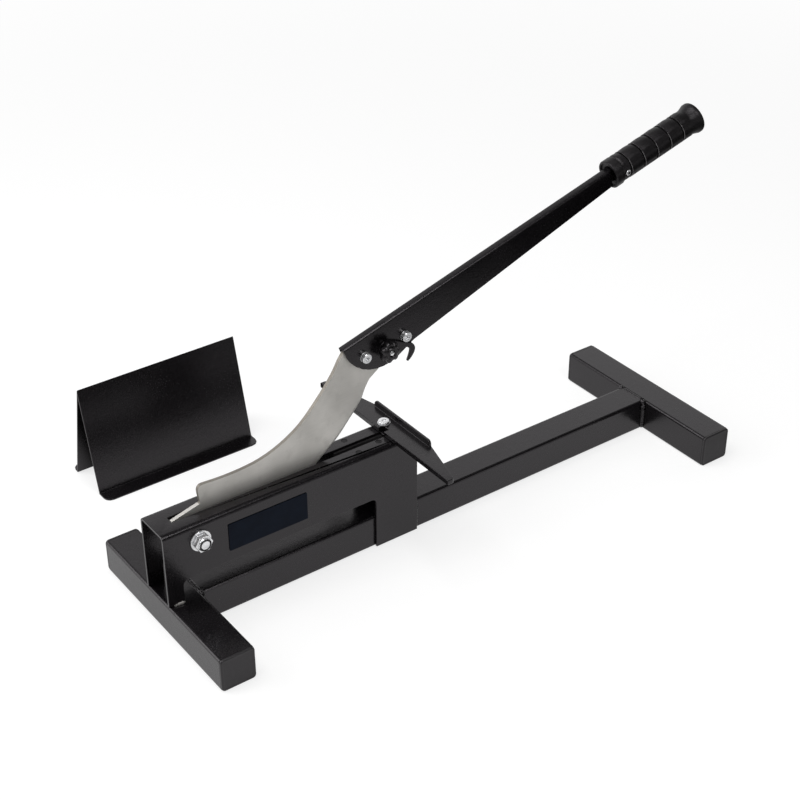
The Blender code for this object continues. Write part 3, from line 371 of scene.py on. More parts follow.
@dataclass(frozen=True)
class Moulding(Finish):
    """Moulded polymer with a fine spark-eroded grain: caps, knob, grip and strips."""

    name: str = "moulded_plastic"
    dark: Color = (0.0075, 0.0072, 0.0076)
    light: Color = (0.0150, 0.0144, 0.0150)
    roughness: float = 0.40
    cloud_scale: float = 45.0
    rub_scale: float = 120.0
    grain_scale: float = 1500.0
    grain_depth: float = 0.00006
    specular: float = 0.5

    def weave(self, loom: Loom) -> None:
        """Set the shader's sockets."""
        grain = loom.noise(self.grain_scale, 2)
        cloud = loom.noise(self.cloud_scale, 4)
        rub = loom.band(loom.noise(self.rub_scale, 3), 0.55, 0.75)
        tone = loom.band(cloud, 0.32, 0.7) * 0.65 + rub * 0.35
        loom.set(
            Base_Color=loom.blend(tone, self.dark, self.light),
            Roughness=self.roughness + 0.18 * (cloud - 0.5) - rub * 0.07 + 0.08 * (grain - 0.5),
            Specular_IOR_Level=self.specular,
            Specular_Tint=(*WARM_GLOSS, 1),
        )
        loom.bump(grain * 0.8 + cloud * 0.5, self.grain_depth)


class Looks:
    """The looks of the cutter, made once each."""

    def __init__(self) -> None:
        """Make every look."""
        weld = Coating("coated_weld", roughness=0.28, peel_scale=480, peel_depth=0.00022)
        rim = GroundSteel("cut_blade_rim", (0.27, 0.25, 0.22), (0.17, 0.155, 0.135))
        bronze = Clouded("oiled_bronze", (0.52, 0.31, 0.12), (0.30, 0.17, 0.07))
        blackened = Clouded("blackened_steel", (0.05, 0.048, 0.05), (0.02, 0.019, 0.02))
        knob = Moulding(
            "knob_plastic",
            (0.0035, 0.0032, 0.0035),
            (0.0080, 0.0074, 0.0080),
            roughness=0.22,
            grain_scale=1900,
        )
        rubber = Moulding(
            "grip_rubber",
            (0.0042, 0.0038, 0.0042),
            (0.0092, 0.0085, 0.0090),
            roughness=0.42,
            grain_scale=1100,
            grain_depth=0.00009,
            specular=0.32,
        )
        # Pale grey lines on the grip: painted highlight beside the grooves, and a seam line.
        sheen_and_seam = Moulding("grip_sheen_and_seam", (0.22, 0.21, 0.215), (0.34, 0.33, 0.335))
        nylon = Moulding("strip_nylon", light=(0.025, 0.024, 0.024), roughness=0.55)
        film = Clouded(
            "navy_film",
            (0.0025, 0.0050, 0.0120),
            (0.0050, 0.0090, 0.0190),
            metal=0,
            specular=0.06,
            cloud_scale=55,
            cloud_detail=3,
            cloud_rough=0.14,
            cloud_height=1.2,
            mark_scale=1100,
            mark_rough=0.08,
            mark_height=0.25,
            depth=0.00003,
        )
        self.coat = Coating().build(Slot.COAT)
        self.weld = weld.build(Slot.COAT)
        self.blade = GroundSteel().build(Slot.BLADE)
        self.blade_rim = rim.build(Slot.BLADE)
        self.zinc = ZincPlate().build(Slot.ZINC)
        self.steel = Clouded().build(Slot.STEEL)
        self.bronze = bronze.build(Slot.BRONZE)
        self.blackened = blackened.build(Slot.STEEL)
        self.cap = Moulding("cap_plastic", roughness=0.42).build(Slot.PLASTIC)
        self.knob = knob.build(Slot.PLASTIC)
        self.sheen_and_seam = sheen_and_seam.build(Slot.RUBBER)
        self.rubber = rubber.build(Slot.RUBBER)
        self.nylon = nylon.build(Slot.NYLON)
        self.label = film.build(Slot.LABEL)


def merged_copy(node: str) -> BMesh:
    """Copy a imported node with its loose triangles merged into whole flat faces.

    Args:
        node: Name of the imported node.

    Returns:
        The copy, still in the model's frame.
    """
    bm = bmesh.new()
    bm.from_mesh(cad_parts[node].data)
    bmesh.ops.remove_doubles(bm, verts=bm.verts, dist=MERGE)
    limit = math.radians(FLAT_DEGREES)
    bmesh.ops.dissolve_limit(bm, angle_limit=limit, verts=bm.verts, edges=bm.edges)
    return bm


def round_edges(bm: BMesh, edges: Iterable[BMEdge], width: float, segments: int = 2) -> None:
    """Round some edges of a mesh.

    Args:
        bm: The mesh.
        edges: Edges to round.
        width: Radius of the rounding.
        segments: Faces across the rounding.
    """
    bmesh.ops.bevel(
        bm,
        geom=list(edges),
        offset=width,
        affect="EDGES",
        segments=segments,
        profile=0.5,
        material=-1,
    )


def add_piece(
    name: str,
    bm: BMesh,
    look: Look,
    body: Body,
    replaces: Sequence[str] = (),
    sharp: float = SHARP_DEGREES,
) -> Object:
    """Turn a finished mesh into a named piece that rides on its body.

    Args:
        name: Name of the piece.
        bm: Its mesh, in the model's frame.
        look: Its look.
        body: The body that carries it.
        replaces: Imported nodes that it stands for.
        sharp: Angle in degrees above which an edge is shaded sharp.

    Returns:
        The new object.
    """
    mesh = bpy.data.meshes.new(name)
    bm.to_mesh(mesh)
    bm.free()
    mesh.materials.append(look.material)
    mesh.shade_smooth()
    mesh.set_sharp_from_angle(angle=math.radians(sharp))
    piece = bpy.data.objects.new(name, mesh)
    bpy.context.scene.collection.objects.link(piece)
    even = piece.modifiers.new("even_normals", "WEIGHTED_NORMAL")
    even.keep_sharp = True
    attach(piece, body.value)
    if replaces:
        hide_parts(*replaces)
    log.info("%s: %d faces on %s", name, len(mesh.polygons), body.value)
    return piece


def recoat(look: Look, *nodes: str) -> None:
    """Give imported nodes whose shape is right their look."""
    for node in nodes:
        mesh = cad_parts[node].data
        mesh.materials.clear()
        mesh.materials.append(look.material)
        log.info("%s: packed shape in %s", node, look.material.name)


def soften(
    node: str,
    width: float,
    look: Look,
    body: Body,
    angle: float = 60,
) -> Object:
    """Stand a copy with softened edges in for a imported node.

    Args:
        node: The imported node.
        width: Radius of the softened edges.
        look: The piece's look.
        body: The body that carries it.
        angle: Least angle in degrees of an edge that is softened.

    Returns:
        The new piece.
    """
    bm = merged_copy(node)
    limit = math.radians(angle)
    edges = [edge for edge in bm.edges if edge.is_manifold and edge.calc_face_angle() > limit]
    round_edges(bm, edges, width)
    return add_piece(f"{node}_finished", bm, look, body, (node,))


def soften_plated(looks: Looks, body: Body, rows: Iterable[tuple[str, float, float]]) -> None:
    """Soften the edges of zinc-plated fasteners.

    Args:
        looks: The cutter's looks.
        body: The body that carries them.
        rows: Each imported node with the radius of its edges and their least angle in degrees.
    """
    for node, width, angle in rows:
        soften(node, width, looks.zinc, body, angle)


def axes_at(origin: Vector, along: Vector, up: Vector) -> Matrix:
    """Matrix that lays X along one direction, Z as near as can be to another, at an origin."""
    first = along.normalized()
    second = up.cross(first).normalized()
    turn = Matrix((first, second, first.cross(second))).transposed().to_4x4()
    return Matrix.Translation(origin) @ turn


def spun(sections: Iterable[Sequence[Pair]], steps: int) -> BMesh:
    """Solids of revolution about X.

    Args:
        sections: Each solid's section as pairs of distance along X and radius.
        steps: Steps in the full turn.

    Returns:
        The solids, with their normals outwards.
    """
    bm = bmesh.new()
    drawn = []
    for section in sections:
        verts = [bm.verts.new((along, 0, radius)) for along, radius in section]
        drawn += verts + [bm.edges.new(pair) for pair in zip(verts, verts[1:])]
    bmesh.ops.spin(
        bm, geom=drawn, cent=(0, 0, 0), axis=(1, 0, 0), angle=math.tau, steps=steps, use_merge=True
    )
    bmesh.ops.remove_doubles(bm, verts=bm.verts, dist=MERGE)
    bmesh.ops.recalc_face_normals(bm, faces=bm.faces)
    return bm


def spun_nearwards(origin: Vector, section: Sequence[Pair], steps: int) -> BMesh:
    """Solid of revolution about a line towards the near side.

    Args:
        origin: The line's start.
        section: Pairs of distance along the line and radius.
        steps: Steps in the full turn.

    Returns:
        The solid, in its place.
    """
    bm = spun([section], steps)
    place = axes_at(origin, Vector((0, -1, 0)), Vector((0, 0, 1)))
    bmesh.ops.transform(bm, matrix=place, verts=bm.verts)
    return bm


def drawn_on(bm: BMesh, cap: list[BMFace]) -> tuple[list[BMFace], list[BMVert]]:
    """Draw a solid's end face out and drop the face left inside.

    Args:
        bm: The mesh.
        cap: The end face, in a list.

    Returns:
        The new end face in a list, and its vertices, still in the old one's place.
    """
    grown = bmesh.ops.extrude_face_region(bm, geom=cap)["geom"]
    bmesh.ops.delete(bm, geom=cap, context="FACES_KEEP_BOUNDARY")
    verts = [item for item in grown if isinstance(item, BMVert)]
    return [item for item in grown if isinstance(item, BMFace)], verts


@dataclass
class WeldBead:
    """One run of weld: a rod of overlapping ripples laid in a corner and coated over."""

    name: str
    start: Point
    end: Point
    radius: float
    pitch: float = 0.0021
    pitch_steps: int = 5
    swell: float = 0.16
    wander: float = 0.10
    drift: float = 0.08
    tip: float = 0.45
    taper: float = 3.2
    sides: int = 14
    seed: int = 1
    bare: bool = False

    def build(self, looks: Looks) -> None:
        """Make the bead and let it ride on the base.

        Args:
            looks: The cutter's looks.
        """
        start, end = Vector(self.start), Vector(self.end)
        run = (end - start).length
        steps = max(8, round(run / self.pitch * self.pitch_steps))
        dice = random.Random(self.seed)
        bm = bmesh.new()
        bmesh.ops.create_circle(bm, segments=self.sides, radius=self.radius, cap_ends=True)
        lead = list(bm.faces)
        centre = Vector()
        wobble = Vector()
        size = 1.0
        now = self.tip
        bmesh.ops.scale(bm, vec=(now, now, 1), verts=bm.verts)
        for step in range(1, steps + 1):
            lead, verts = drawn_on(bm, lead)
            share = step / steps
            phase = share * run / self.pitch % 1.0
            crest = 1 + self.swell * (phase**0.7 - 0.5)
            if step % self.pitch_steps == 0:
                size = 1 + self.wander * dice.uniform(-1, 1)
                wobble = Vector((dice.uniform(-1, 1), dice.uniform(-1, 1), 0))
                wobble = wobble * self.radius * self.drift
            close = min(1.0, self.tip + self.taper * min(share, 1 - share))
            aim = crest * size * close
            move = wobble - Vector((centre.x, centre.y, 0)) + Vector((0, 0, run / steps))
            bmesh.ops.translate(bm, vec=move, verts=verts)
            centre += move
            ease = aim / now
            space = Matrix.Translation(-centre)
            bmesh.ops.scale(bm, vec=(ease, ease, 1), verts=verts, space=space)
            now = aim
        turn = (end - start).to_track_quat("Z", "X").to_matrix().to_4x4()
        bmesh.ops.transform(bm, matrix=Matrix.Translation(start) @ turn, verts=bm.verts)
        bmesh.ops.recalc_face_normals(bm, faces=bm.faces)
        look = looks.steel if self.bare else looks.weld
        add_piece(self.name, bm, look, Body.BASE, sharp=70)


@dataclass
class BaseFrame:
    """Feet, spine, plug caps and the welds that join them."""

    looks: Looks
    cap_round: float = 0.0012
    cap_step: float = 0.0016
    cap_dish: float = 0.0003
    facing: float = 0.9
    rear_bead: float = 0.0034
    front_bead: float = 0.0026
    top_bead: float = 0.0024
    corner_out: float = 0.0007
    floor_gap: float = 0.0022
    top_gap: float = 0.0005
    crater_share: float = 0.94
    crater_start: Pair = (0.0030, 0.0022)
    crater_end: Pair = (-0.0045, 0.0012)
    top_inset: float = 0.002
    top_sink: float = 0.0013

    def build(self) -> None:
        """Dress the tubes, shape the caps and lay the weld beads."""
        recoat(self.looks.coat, "front_foot_tube", "rear_foot_tube", "spine_tube")
        for foot in ("front", "rear"):
            for side, sign in (("near", -1), ("far", 1)):
                self.build_cap(f"{foot}_foot_cap_{side}", sign)
        self.build_welds()

    def build_cap(self, node: str, sign: int) -> None:
        """Plug cap with a rounded rim and a face that is dished a little.

        Args:
            node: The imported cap.
            sign: Which way its face looks along Y.
        """
        bm = merged_copy(node)
        facing = [item for item in bm.faces if item.normal.y * sign > self.facing]
        outermost = max(facing, key=lambda item: item.calc_center_median().y * sign)
        round_edges(bm, outermost.edges, self.cap_round, 3)
        facing = [item for item in bm.faces if item.normal.y * sign > self.facing]
        face = max(facing, key=lambda item: item.calc_area())
        for depth, thickness in ((0, self.cap_step), (-self.cap_dish, self.cap_dish * 2)):
            bmesh.ops.inset_region(bm, faces=[face], thickness=thickness, depth=depth)
        add_piece(f"{node}_finished", bm, self.looks.cap, Body.BASE, (node,))

    def build_welds(self) -> None:
        """Beads up the corners between the spine and both feet, and flush runs over the tops."""
        low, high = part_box("spine_tube")
        near, far = low.y, high.y
        top = high.z
        crater = (self.crater_start, self.crater_end)
        feet = (("rear", high.x, -1, self.rear_bead), ("front", low.x, 1, self.front_bead))
        for foot, x, inward, radius in feet:
            name = f"weld_{foot}"
            for side, y, out, seed in (("near", near, -1, 11), ("far", far, 1, 23)):
                x_out, y_out = x + inward * self.corner_out, y + out * self.corner_out
                WeldBead(
                    f"{name}_{side}",
                    (x_out, y_out, self.floor_gap),
                    (x_out, y_out, top - self.top_gap),
                    radius,
                    seed=seed + len(foot),
                ).build(self.looks)
                WeldBead(
                    f"{name}_{side}_crater",
                    *((x_out, y + out * wide, top - deep) for wide, deep in crater),
                    radius * self.crater_share,
                    pitch=0.0030,
                    wander=0.16,
                    seed=seed + 60,
                ).build(self.looks)
            WeldBead(
                f"{name}_top",
                (x, near + self.top_inset, top - self.top_sink),
                (x, far - self.top_inset, top - self.top_sink),
                self.top_bead,
                swell=0.07,
                seed=37 + len(foot),
            ).build(self.looks)


@dataclass
class Table:
    """Folded table channel with its welds, its guide strips and the bare label plate."""

    looks: Looks
    edge: float = 0.0005
    label_edge: float = 0.00018
    bead: float = 0.0021
    skirt_in: float = 0.0026
    skirt_out: float = 0.0004
    skirt_low: float = 0.0022
    skirt_drop: float = 0.002
    leg_from: float = 0.0060
    leg_to: float = 0.0185
    leg_out: float = 0.0004
    leg_rise: float = 0.0006

    def build(self) -> None:
        """Dress the channel, the label and the strips under the slot."""
        coat = self.looks.coat
        soften("table_channel", self.edge, coat, Body.BASE, 50)
        soften("label_plate", self.label_edge, self.looks.label, Body.BASE, 40)
        recoat(self.looks.nylon, "blade_guide_near", "blade_guide_far")
        screws = ("guide_screw_near", "guide_screw_near_rear", "guide_screw_far")
        recoat(self.looks.blackened, *screws)
        self.build_welds()

    def build_welds(self) -> None:
        """Beads where the channel's rear end meets the spine and where its legs meet the foot."""
        low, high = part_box("table_channel")
        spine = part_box("spine_tube")[1]
        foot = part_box("front_foot_tube")[1]
        for side, y, out, seed in (("near", low.y, 1, 3), ("far", high.y, -1, 5)):
            inner, behind = y + out * self.skirt_in, high.x + self.skirt_out
            start, end = (behind, inner, self.skirt_low), (behind, inner, spine.z - self.skirt_drop)
            WeldBead(f"weld_skirt_{side}", start, end, self.bead, seed=seed).build(self.looks)
            outer = (y - out * self.leg_out, foot.z + self.leg_rise)
            WeldBead(
                f"weld_leg_{side}",
                (low.x + self.leg_from, *outer),
                (low.x + self.leg_to, *outer),
                self.bead,
                pitch=0.0017,
                swell=0.4,
                wander=0.34,
                seed=seed + 40,
                bare=True,
            ).build(self.looks)


@dataclass
class Pivot:
    """Pivot bolt with its nut, washers and what sits on it inside the channel."""

    looks: Looks
    washer_edge: float = 0.0004
    nut_edge: float = 0.0006
    ring_inner: float = 0.0060
    ring_outer: float = 0.0066
    tip_round: float = 0.0012
    tip_flat: float = 0.0049

    def build(self) -> None:
        """Dress the fastener, add the nut's locking ring and painted shade on the bolt's first thread.
        """
        rows = [(f"pivot_washer_{side}", self.washer_edge, 60) for side in ("near", "far")]
        rows += [("pivot_nut", self.nut_edge, 45), ("pivot_bolt", self.tip_round, 60)]
        soften_plated(self.looks, Body.BASE, rows)
        recoat(self.looks.steel, "pivot_spacer_near", "pivot_spacer_far")
        self.build_locking_ring()
        self.build_thread_shade()

    def build_locking_ring(self) -> None:
        """Dark nylon ring that shows between the bolt's end and the nut's collar."""
        section = [
            (-0.0012, self.ring_inner),
            (0.0003, self.ring_inner),
            (0.0006, (self.ring_inner + self.ring_outer) / 2),
            (0.0003, self.ring_outer),
            (-0.0012, self.ring_outer),
        ]
        ring = self.ring_at("pivot_nut", section)
        add_piece("nut_locking_ring", ring, self.looks.nylon, Body.BASE)

    def build_thread_shade(self) -> None:
        """Dark ring round the bolt's bright end: painted shade in the first turn of thread."""
        outer = self.ring_inner
        section = [
            (-0.0026, outer - 0.0006),
            (-0.0026, outer + 0.0001),
            (-0.0010, outer + 0.0001),
            (-0.0004, outer - 0.0003),
            (-0.0001, outer - 0.0008),
            (0.0001, self.tip_flat),
            (-0.0003, self.tip_flat - 0.0001),
        ]
        ring = self.ring_at("pivot_bolt", section)
        # The blackened ring is painted shade in the thread's groove.
        add_piece("bolt_thread_shade", ring, self.looks.blackened, Body.BASE)

    @staticmethod
    def ring_at(node: str, section: Sequence[Pair]) -> BMesh:
        """Ring round the pivot's axis.

        Args:
            node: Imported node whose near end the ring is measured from.
            section: The ring's section as pairs of distance outwards and radius.

        Returns:
            The ring, in its place.
        """
        low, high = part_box(node)
        centre = (low + high) / 2
        return spun_nearwards(Vector((centre.x, low.y, centre.z)), [*section, section[0]], 48)


@dataclass
class Fence:
    """Fence bar with its upstand, and the bolt that holds it."""

    looks: Looks
    edge: float = 0.0006
    bolt_edge: float = 0.0006
    nut_edge: float = 0.0004
    washer_edge: float = 0.0002

    def build(self) -> None:
        """Dress the bar and its fasteners."""
        soften("fence_bar", self.edge, self.looks.coat, Body.BASE, 50)
        rows = [("fence_bolt", self.bolt_edge, 60), ("fence_nut", self.nut_edge, 50)]
        rows += [(f"fence_washer_{place}", self.washer_edge, 60) for place in ("top", "under")]
        soften_plated(self.looks, Body.BASE, rows)


@dataclass
class Blade:
    """Curved ground blade and the bush in its hub."""

    looks: Looks
    edge: float = 0.00035
    hub_end_x: float = -0.2995
    side_slope: float = 0.6

    def build(self) -> None:
        """Dress the blade, with a darker rim in front of its hub's end, and its bush."""
        blade = soften("blade", self.edge, self.looks.blade, Body.LEVER)
        blade.data.materials.append(self.looks.blade_rim.material)
        for face in blade.data.polygons:
            if abs(face.normal.y) < self.side_slope and face.center.x > self.hub_end_x:
                face.material_index = 1
        recoat(self.looks.bronze, "blade_bush")


@dataclass
class LeverArm:
    """Folded lever with the bolts that clamp the blade's tang."""

    looks: Looks
    edge: float = 0.00045
    bolt_edge: float = 0.0003
    nut_edge: float = 0.0004
    washer_edge: float = 0.00025

    def build(self) -> None:
        """Dress the lever and its fasteners."""
        soften("lever_channel", self.edge, self.looks.coat, Body.LEVER, 50)
        for place in ("front", "rear"):
            rows = [(f"bolt_{place}", self.bolt_edge, 60), (f"nut_{place}", self.nut_edge, 50)]
            rows += [(f"washer_{place}_{side}", self.washer_edge, 60) for side in ("near", "far")]
            plated = [(f"lever_{name}", width, angle) for name, width, angle in rows]
            soften_plated(self.looks, Body.LEVER, plated)


@dataclass
class Latch:
    """Stud, hook and lobed knob at the lever's root."""

    looks: Looks
    stud_edge: float = 0.0004
    hook_edge: float = 0.0006
    lobes: int = 7
    lobe_steps: int = 12
    lobe_depth: float = 0.0023
    lobe_power: float = 1.6
    head_radius: float = 0.01225
    boss_radius: float = 0.0069
    boss_length: float = 0.0025
    hub_radius: float = 0.0070
    recess_radius: float = 0.0037
    recess_depth: float = 0.0024

    def build(self) -> None:
        """Dress the stud and the hook, and model the knob."""
        soften("latch_stud", self.stud_edge, self.looks.steel, Body.LEVER)
        soften("latch_hook", self.hook_edge, self.looks.coat, Body.HOOK)
        self.build_knob()
        self.build_insert()

    def knob_place(self) -> tuple[Vector, float]:
        """Centre of the knob's back face, and the knob's length."""
        low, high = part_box("latch_knob")
        stud_low, stud_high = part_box("latch_stud")
        x = (stud_low.x + stud_high.x) / 2
        z = (stud_low.z + stud_high.z) / 2
        return Vector((x, high.y, z)), high.y - low.y

    def build_knob(self) -> None:
        """Knob: a round boss, a lobed body with soft edges, a raised hub and a recess."""
        origin, length = self.knob_place()
        boss, full = self.boss_length, self.head_radius
        head = length - boss
        levels = [
            (0.0, self.boss_radius - 0.0004, 0.0),
            (0.0004, self.boss_radius, 0.0),
            (boss - 0.0004, self.boss_radius, 0.0),
            (boss, self.boss_radius + 0.0005, 0.0),
            (boss, full - 0.0018, 0.8),
            (boss + 0.0006, full - 0.0006, 1.0),
            (boss + 0.0018, full, 1.0),
            (boss + head * 0.55, full, 1.0),
            (boss + head * 0.74, full - 0.0006, 1.0),
            (boss + head * 0.84, full - 0.0021, 0.85),
            (boss + head * 0.88, self.hub_radius + 0.0013, 0.35),
            (boss + head * 0.88, self.hub_radius, 0.0),
            (length - 0.0005, self.hub_radius - 0.0002, 0.0),
            (length, self.hub_radius - 0.0008, 0.0),
            (length, self.recess_radius + 0.0004, 0.0),
            (length - 0.0004, self.recess_radius, 0.0),
            (length - self.recess_depth, self.recess_radius, 0.0),
        ]
        bm = bmesh.new()
        steps = self.lobes * self.lobe_steps
        bmesh.ops.create_circle(bm, segments=steps, radius=1.0, cap_ends=True)
        lead = list(bm.faces)
        rim = list(bm.verts)
        for index, (height, radius, lobed) in enumerate(levels):
            if index:
                lead, rim = drawn_on(bm, lead)
            for vert in rim:
                angle = math.atan2(vert.co.y, vert.co.x)
                dip = 0.5 * (1 - math.cos(self.lobes * angle))
                reach = radius - lobed * self.lobe_depth * dip**self.lobe_power
                vert.co = Vector((math.cos(angle) * reach, math.sin(angle) * reach, height))
        place = axes_at(origin, Vector((1, 0, 0)), Vector((0, -1, 0)))
        bmesh.ops.transform(bm, matrix=place, verts=bm.verts)
        bmesh.ops.recalc_face_normals(bm, faces=bm.faces)
        add_piece("latch_knob_finished", bm, self.looks.knob, Body.KNOB, ("latch_knob",))

    def build_insert(self) -> None:
        """Bright domed screw end at the bottom of the knob's recess."""
        origin, length = self.knob_place()
        floor = length - self.recess_depth
        section = [
            (floor - 0.0004, 0),
            (floor - 0.0004, 0.0029),
            (floor + 0.0010, 0.0029),
            (floor + 0.0019, 0.0022),
            (floor + 0.0022, 0.0011),
            (floor + 0.0022, 0),
        ]
        tip = spun_nearwards(origin, section, 32)
        add_piece("knob_screw_end", tip, self.looks.zinc, Body.KNOB)


@dataclass
class Grip:
    """Ribbed rubber grip over the lever's tang, and its small screw."""

    looks: Looks
    length: float = 0.132
    screw_place: float = 0.0155
    tilt_degrees: float = 16.25
    body: float = 0.0154
    collar: float = 0.0163
    collar_length: float = 0.0115
    flare: float = 0.0183
    flare_length: float = 0.016
    rim: float = 0.0042
    groove_first: float = 0.0215
    groove_pitch: float = 0.020
    grooves: int = 5
    groove_width: float = 0.0024
    groove_depth: float = 0.0012
    lip: float = 0.0004
    sheen_and_seam: float = 0.0003
    seam_degrees: float = 128.0
    bore: float = 0.0094
    bore_end: float = 0.1245
    bore_clear: float = 0.003
    sides: int = 96
    pad_rise: float = 0.0008
    pad_degrees: float = 52.0
    pad_start: float = 0.0135
    pad_stop: float = 0.017
    body_slack: float = 0.0003
    groove_sink: float = 0.0006
    seam_rise: float = 0.0005
    seam_half_degrees: float = 5.0
    rib_rise: float = 0.00022
    rib_length: float = 0.0011
    rib_twist: float = 9.0
    chin_degrees: float = 48.0
    chin_widen: float = 0.03
    chin_drop: float = 0.09
    screw_edge: float = 0.0003
    cross_long: float = 0.0034
    cross_wide: float = 0.0009
    cross_thick: float = 0.0005
    cross_edge: float = 0.0001
    cross_proud: float = 0.00002
    cross_degrees: float = 20.0

    def build(self) -> None:
        """Model the grip and dress its screw."""
        self.build_sleeve()
        self.build_sheen_and_seam()
        soften_plated(self.looks, Body.LEVER, [("grip_screw", self.screw_edge, 40)])
        self.build_screw_cross_shade()

    def place(self) -> Matrix:
        """Frame with X along the grip's axis from its near end and Z up from the axis."""
        tilt = math.radians(self.tilt_degrees)
        along = Vector((math.cos(tilt), 0, math.sin(tilt)))
        up = Vector((-math.sin(tilt), 0, math.cos(tilt)))
        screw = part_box("grip_screw")
        middle = (screw[0] + screw[1]) / 2
        middle.y = 0
        return axes_at(middle - along * self.screw_place, along, up)

    def outline(self) -> list[Pair]:
        """Profile of the sleeve as distance along its axis and radius, bore first."""
        body, collar, dip = self.body, self.collar, self.groove_depth
        points = [(self.bore_end, 0), (self.bore_end, self.bore), (0.0022, self.bore)]
        points += [(0.0022, self.bore + 0.0012), (0.0022, collar - 0.0034)]
        points += [(0.0004, collar - 0.0026), (0.0, collar - 0.0016), (0.0004, collar - 0.0005)]
        points += [(0.0014, collar), (self.collar_length - 0.0012, collar)]
        points += [(self.collar_length - 0.0003, collar - 0.0004)]
        points += [(self.collar_length + 0.0004, body)]
        start = self.collar_length + 0.0004
        half = self.groove_width / 2
        for index in range(self.grooves):
            middle = self.groove_first + index * self.groove_pitch
            for share in (0.2, 0.4, 0.6, 0.8):
                points.append((start + (middle - half - start) * share, body))
            points += [(middle - half, body), (middle - half * 0.72, body - dip * 0.35)]
            points += [(middle - half * 0.45, body - dip), (middle + half * 0.45, body - dip)]
            points += [(middle + half * 0.72, body + self.lip * 0.6)]
            points += [(middle + half, body + self.lip), (middle + half * 1.35, body)]
            start = middle + half
        neck = self.length - self.flare_length
        for share in (0.33, 0.66, 1.0):
            points.append((start + (neck - start) * share, body))
        edge = self.length - self.rim
        for step in range(1, 7):
            share = step / 6
            rise = 1 - math.cos(share * math.pi / 2)
            points.append((neck + (edge - neck) * share, body + (self.flare - body) * rise))
        points += [(self.length - 0.0012, self.flare), (self.length - 0.0004, self.flare - 0.0004)]
        points += [(self.length, self.flare - 0.0013), (self.length - 0.0002, 0.0125)]
        points += [(self.length - 0.0011, 0.0115), (self.length - 0.0011, 0)]
        return points

    def build_sleeve(self) -> None:
        """Sleeve with pads over its top, ring grooves and a moulding seam below."""
        bm = spun([self.outline()], self.sides)
        skin = self.bore + self.bore_clear
        for vert in bm.verts:
            radius = math.hypot(vert.co.y, vert.co.z)
            angle = math.degrees(math.atan2(vert.co.y, vert.co.z))
            if radius > skin and vert.co.x < self.collar_length:
                below = max(0.0, 1 - abs((180 - abs(angle)) / self.chin_degrees) ** 4)
                vert.co.y *= 1 + self.chin_widen * below
                vert.co.z *= 1 + self.chin_drop * below
            if radius > skin and self.pad_start < vert.co.x < self.length - self.pad_stop:
                grown = (radius + self.relief(vert.co.x, radius, angle)) / radius
                vert.co.y *= grown
                vert.co.z *= grown
        bmesh.ops.transform(bm, matrix=self.place(), verts=bm.verts)
        add_piece("grip_finished", bm, self.looks.rubber, Body.LEVER, ("grip",), sharp=40)

    def relief(self, along: float, radius: float, angle: float) -> float:
        """How far the grip's surface stands out at a place.

        Args:
            along: Distance along the axis.
            radius: The plain sleeve's radius there.
            angle: Degrees round from the top.

        Returns:
            The rise of pads, ribs and seam, less the grooves' depth.
        """
        share = (along - self.groove_first) / self.groove_pitch % 1.0
        crown = max(0.0, math.sin(math.pi * share)) ** 0.6
        over = max(0.0, 1 - abs(angle / self.pad_degrees) ** 6)
        raised = radius > self.body - self.body_slack
        on_top = self.pad_rise * crown * over if raised else -self.groove_sink * over
        off_seam = (abs(angle) - self.seam_degrees) / self.seam_half_degrees
        under = max(0.0, 1 - off_seam**2) * self.seam_rise
        wave = math.sin(along / self.rib_length + self.rib_twist * angle)
        return on_top + under + self.rib_rise * wave * crown * over

    def build_sheen_and_seam(self) -> None:
        """Pale lines: painted highlight beside each groove, and one along the seam below."""
        reach, half = self.body + self.lip, self.sheen_and_seam
        sections = []
        for index in range(self.grooves):
            middle = self.groove_first + index * self.groove_pitch + self.groove_width * 0.5
            low, high = (middle - half, reach - half), (middle, reach + half)
            sections.append([low, high, (middle + half, reach - half), low])
        lines = spun(sections, self.sides)
        first = self.groove_first
        run = self.length - self.flare_length - first
        bar = bmesh.ops.create_cube(lines, size=1.0)["verts"]
        bmesh.ops.scale(lines, vec=(run, half * 2.4, half * 2.4), verts=bar)
        turn = Matrix.Rotation(math.radians(self.seam_degrees), 4, "X")
        out = Matrix.Translation((first + run / 2, 0, self.body + self.seam_rise))
        bmesh.ops.transform(lines, matrix=turn @ out, verts=bar)
        bmesh.ops.transform(lines, matrix=self.place(), verts=lines.verts)
        add_piece("grip_sheen_and_seam", lines, self.looks.sheen_and_seam, Body.LEVER)

    def build_screw_cross_shade(self) -> None:
        """Dark cross on the grip's screw head: painted shade of its cross recess."""
        low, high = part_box("grip_screw")
        middle = (low + high) / 2
        bm = bmesh.new()
        size = (self.cross_long, self.cross_thick, self.cross_wide)
        for arm in (size, size[::-1]):
            made = bmesh.ops.create_cube(bm, size=1.0)["verts"]
            bmesh.ops.scale(bm, vec=arm, verts=made)
        round_edges(bm, list(bm.edges), self.cross_edge, 1)
        turn = Matrix.Rotation(math.radians(self.cross_degrees), 4, "Y")
        place = Matrix.Translation((middle.x, low.y - self.cross_proud, middle.z)) @ turn
        bmesh.ops.transform(bm, matrix=place, verts=bm.verts)
        # The near-black cross is painted shade, not a colour of the zinc screw.
        add_piece("grip_screw_cross_shade", bm, self.looks.knob, Body.LEVER)


@dataclass
class VSupport:
    """Loose folded support that stands beside the cutter."""

    looks: Looks
    edge: float = 0.0006

    def build(self) -> None:
        """Dress the support."""
        soften("v_support", self.edge, self.looks.coat, Body.SUPPORT, 18)


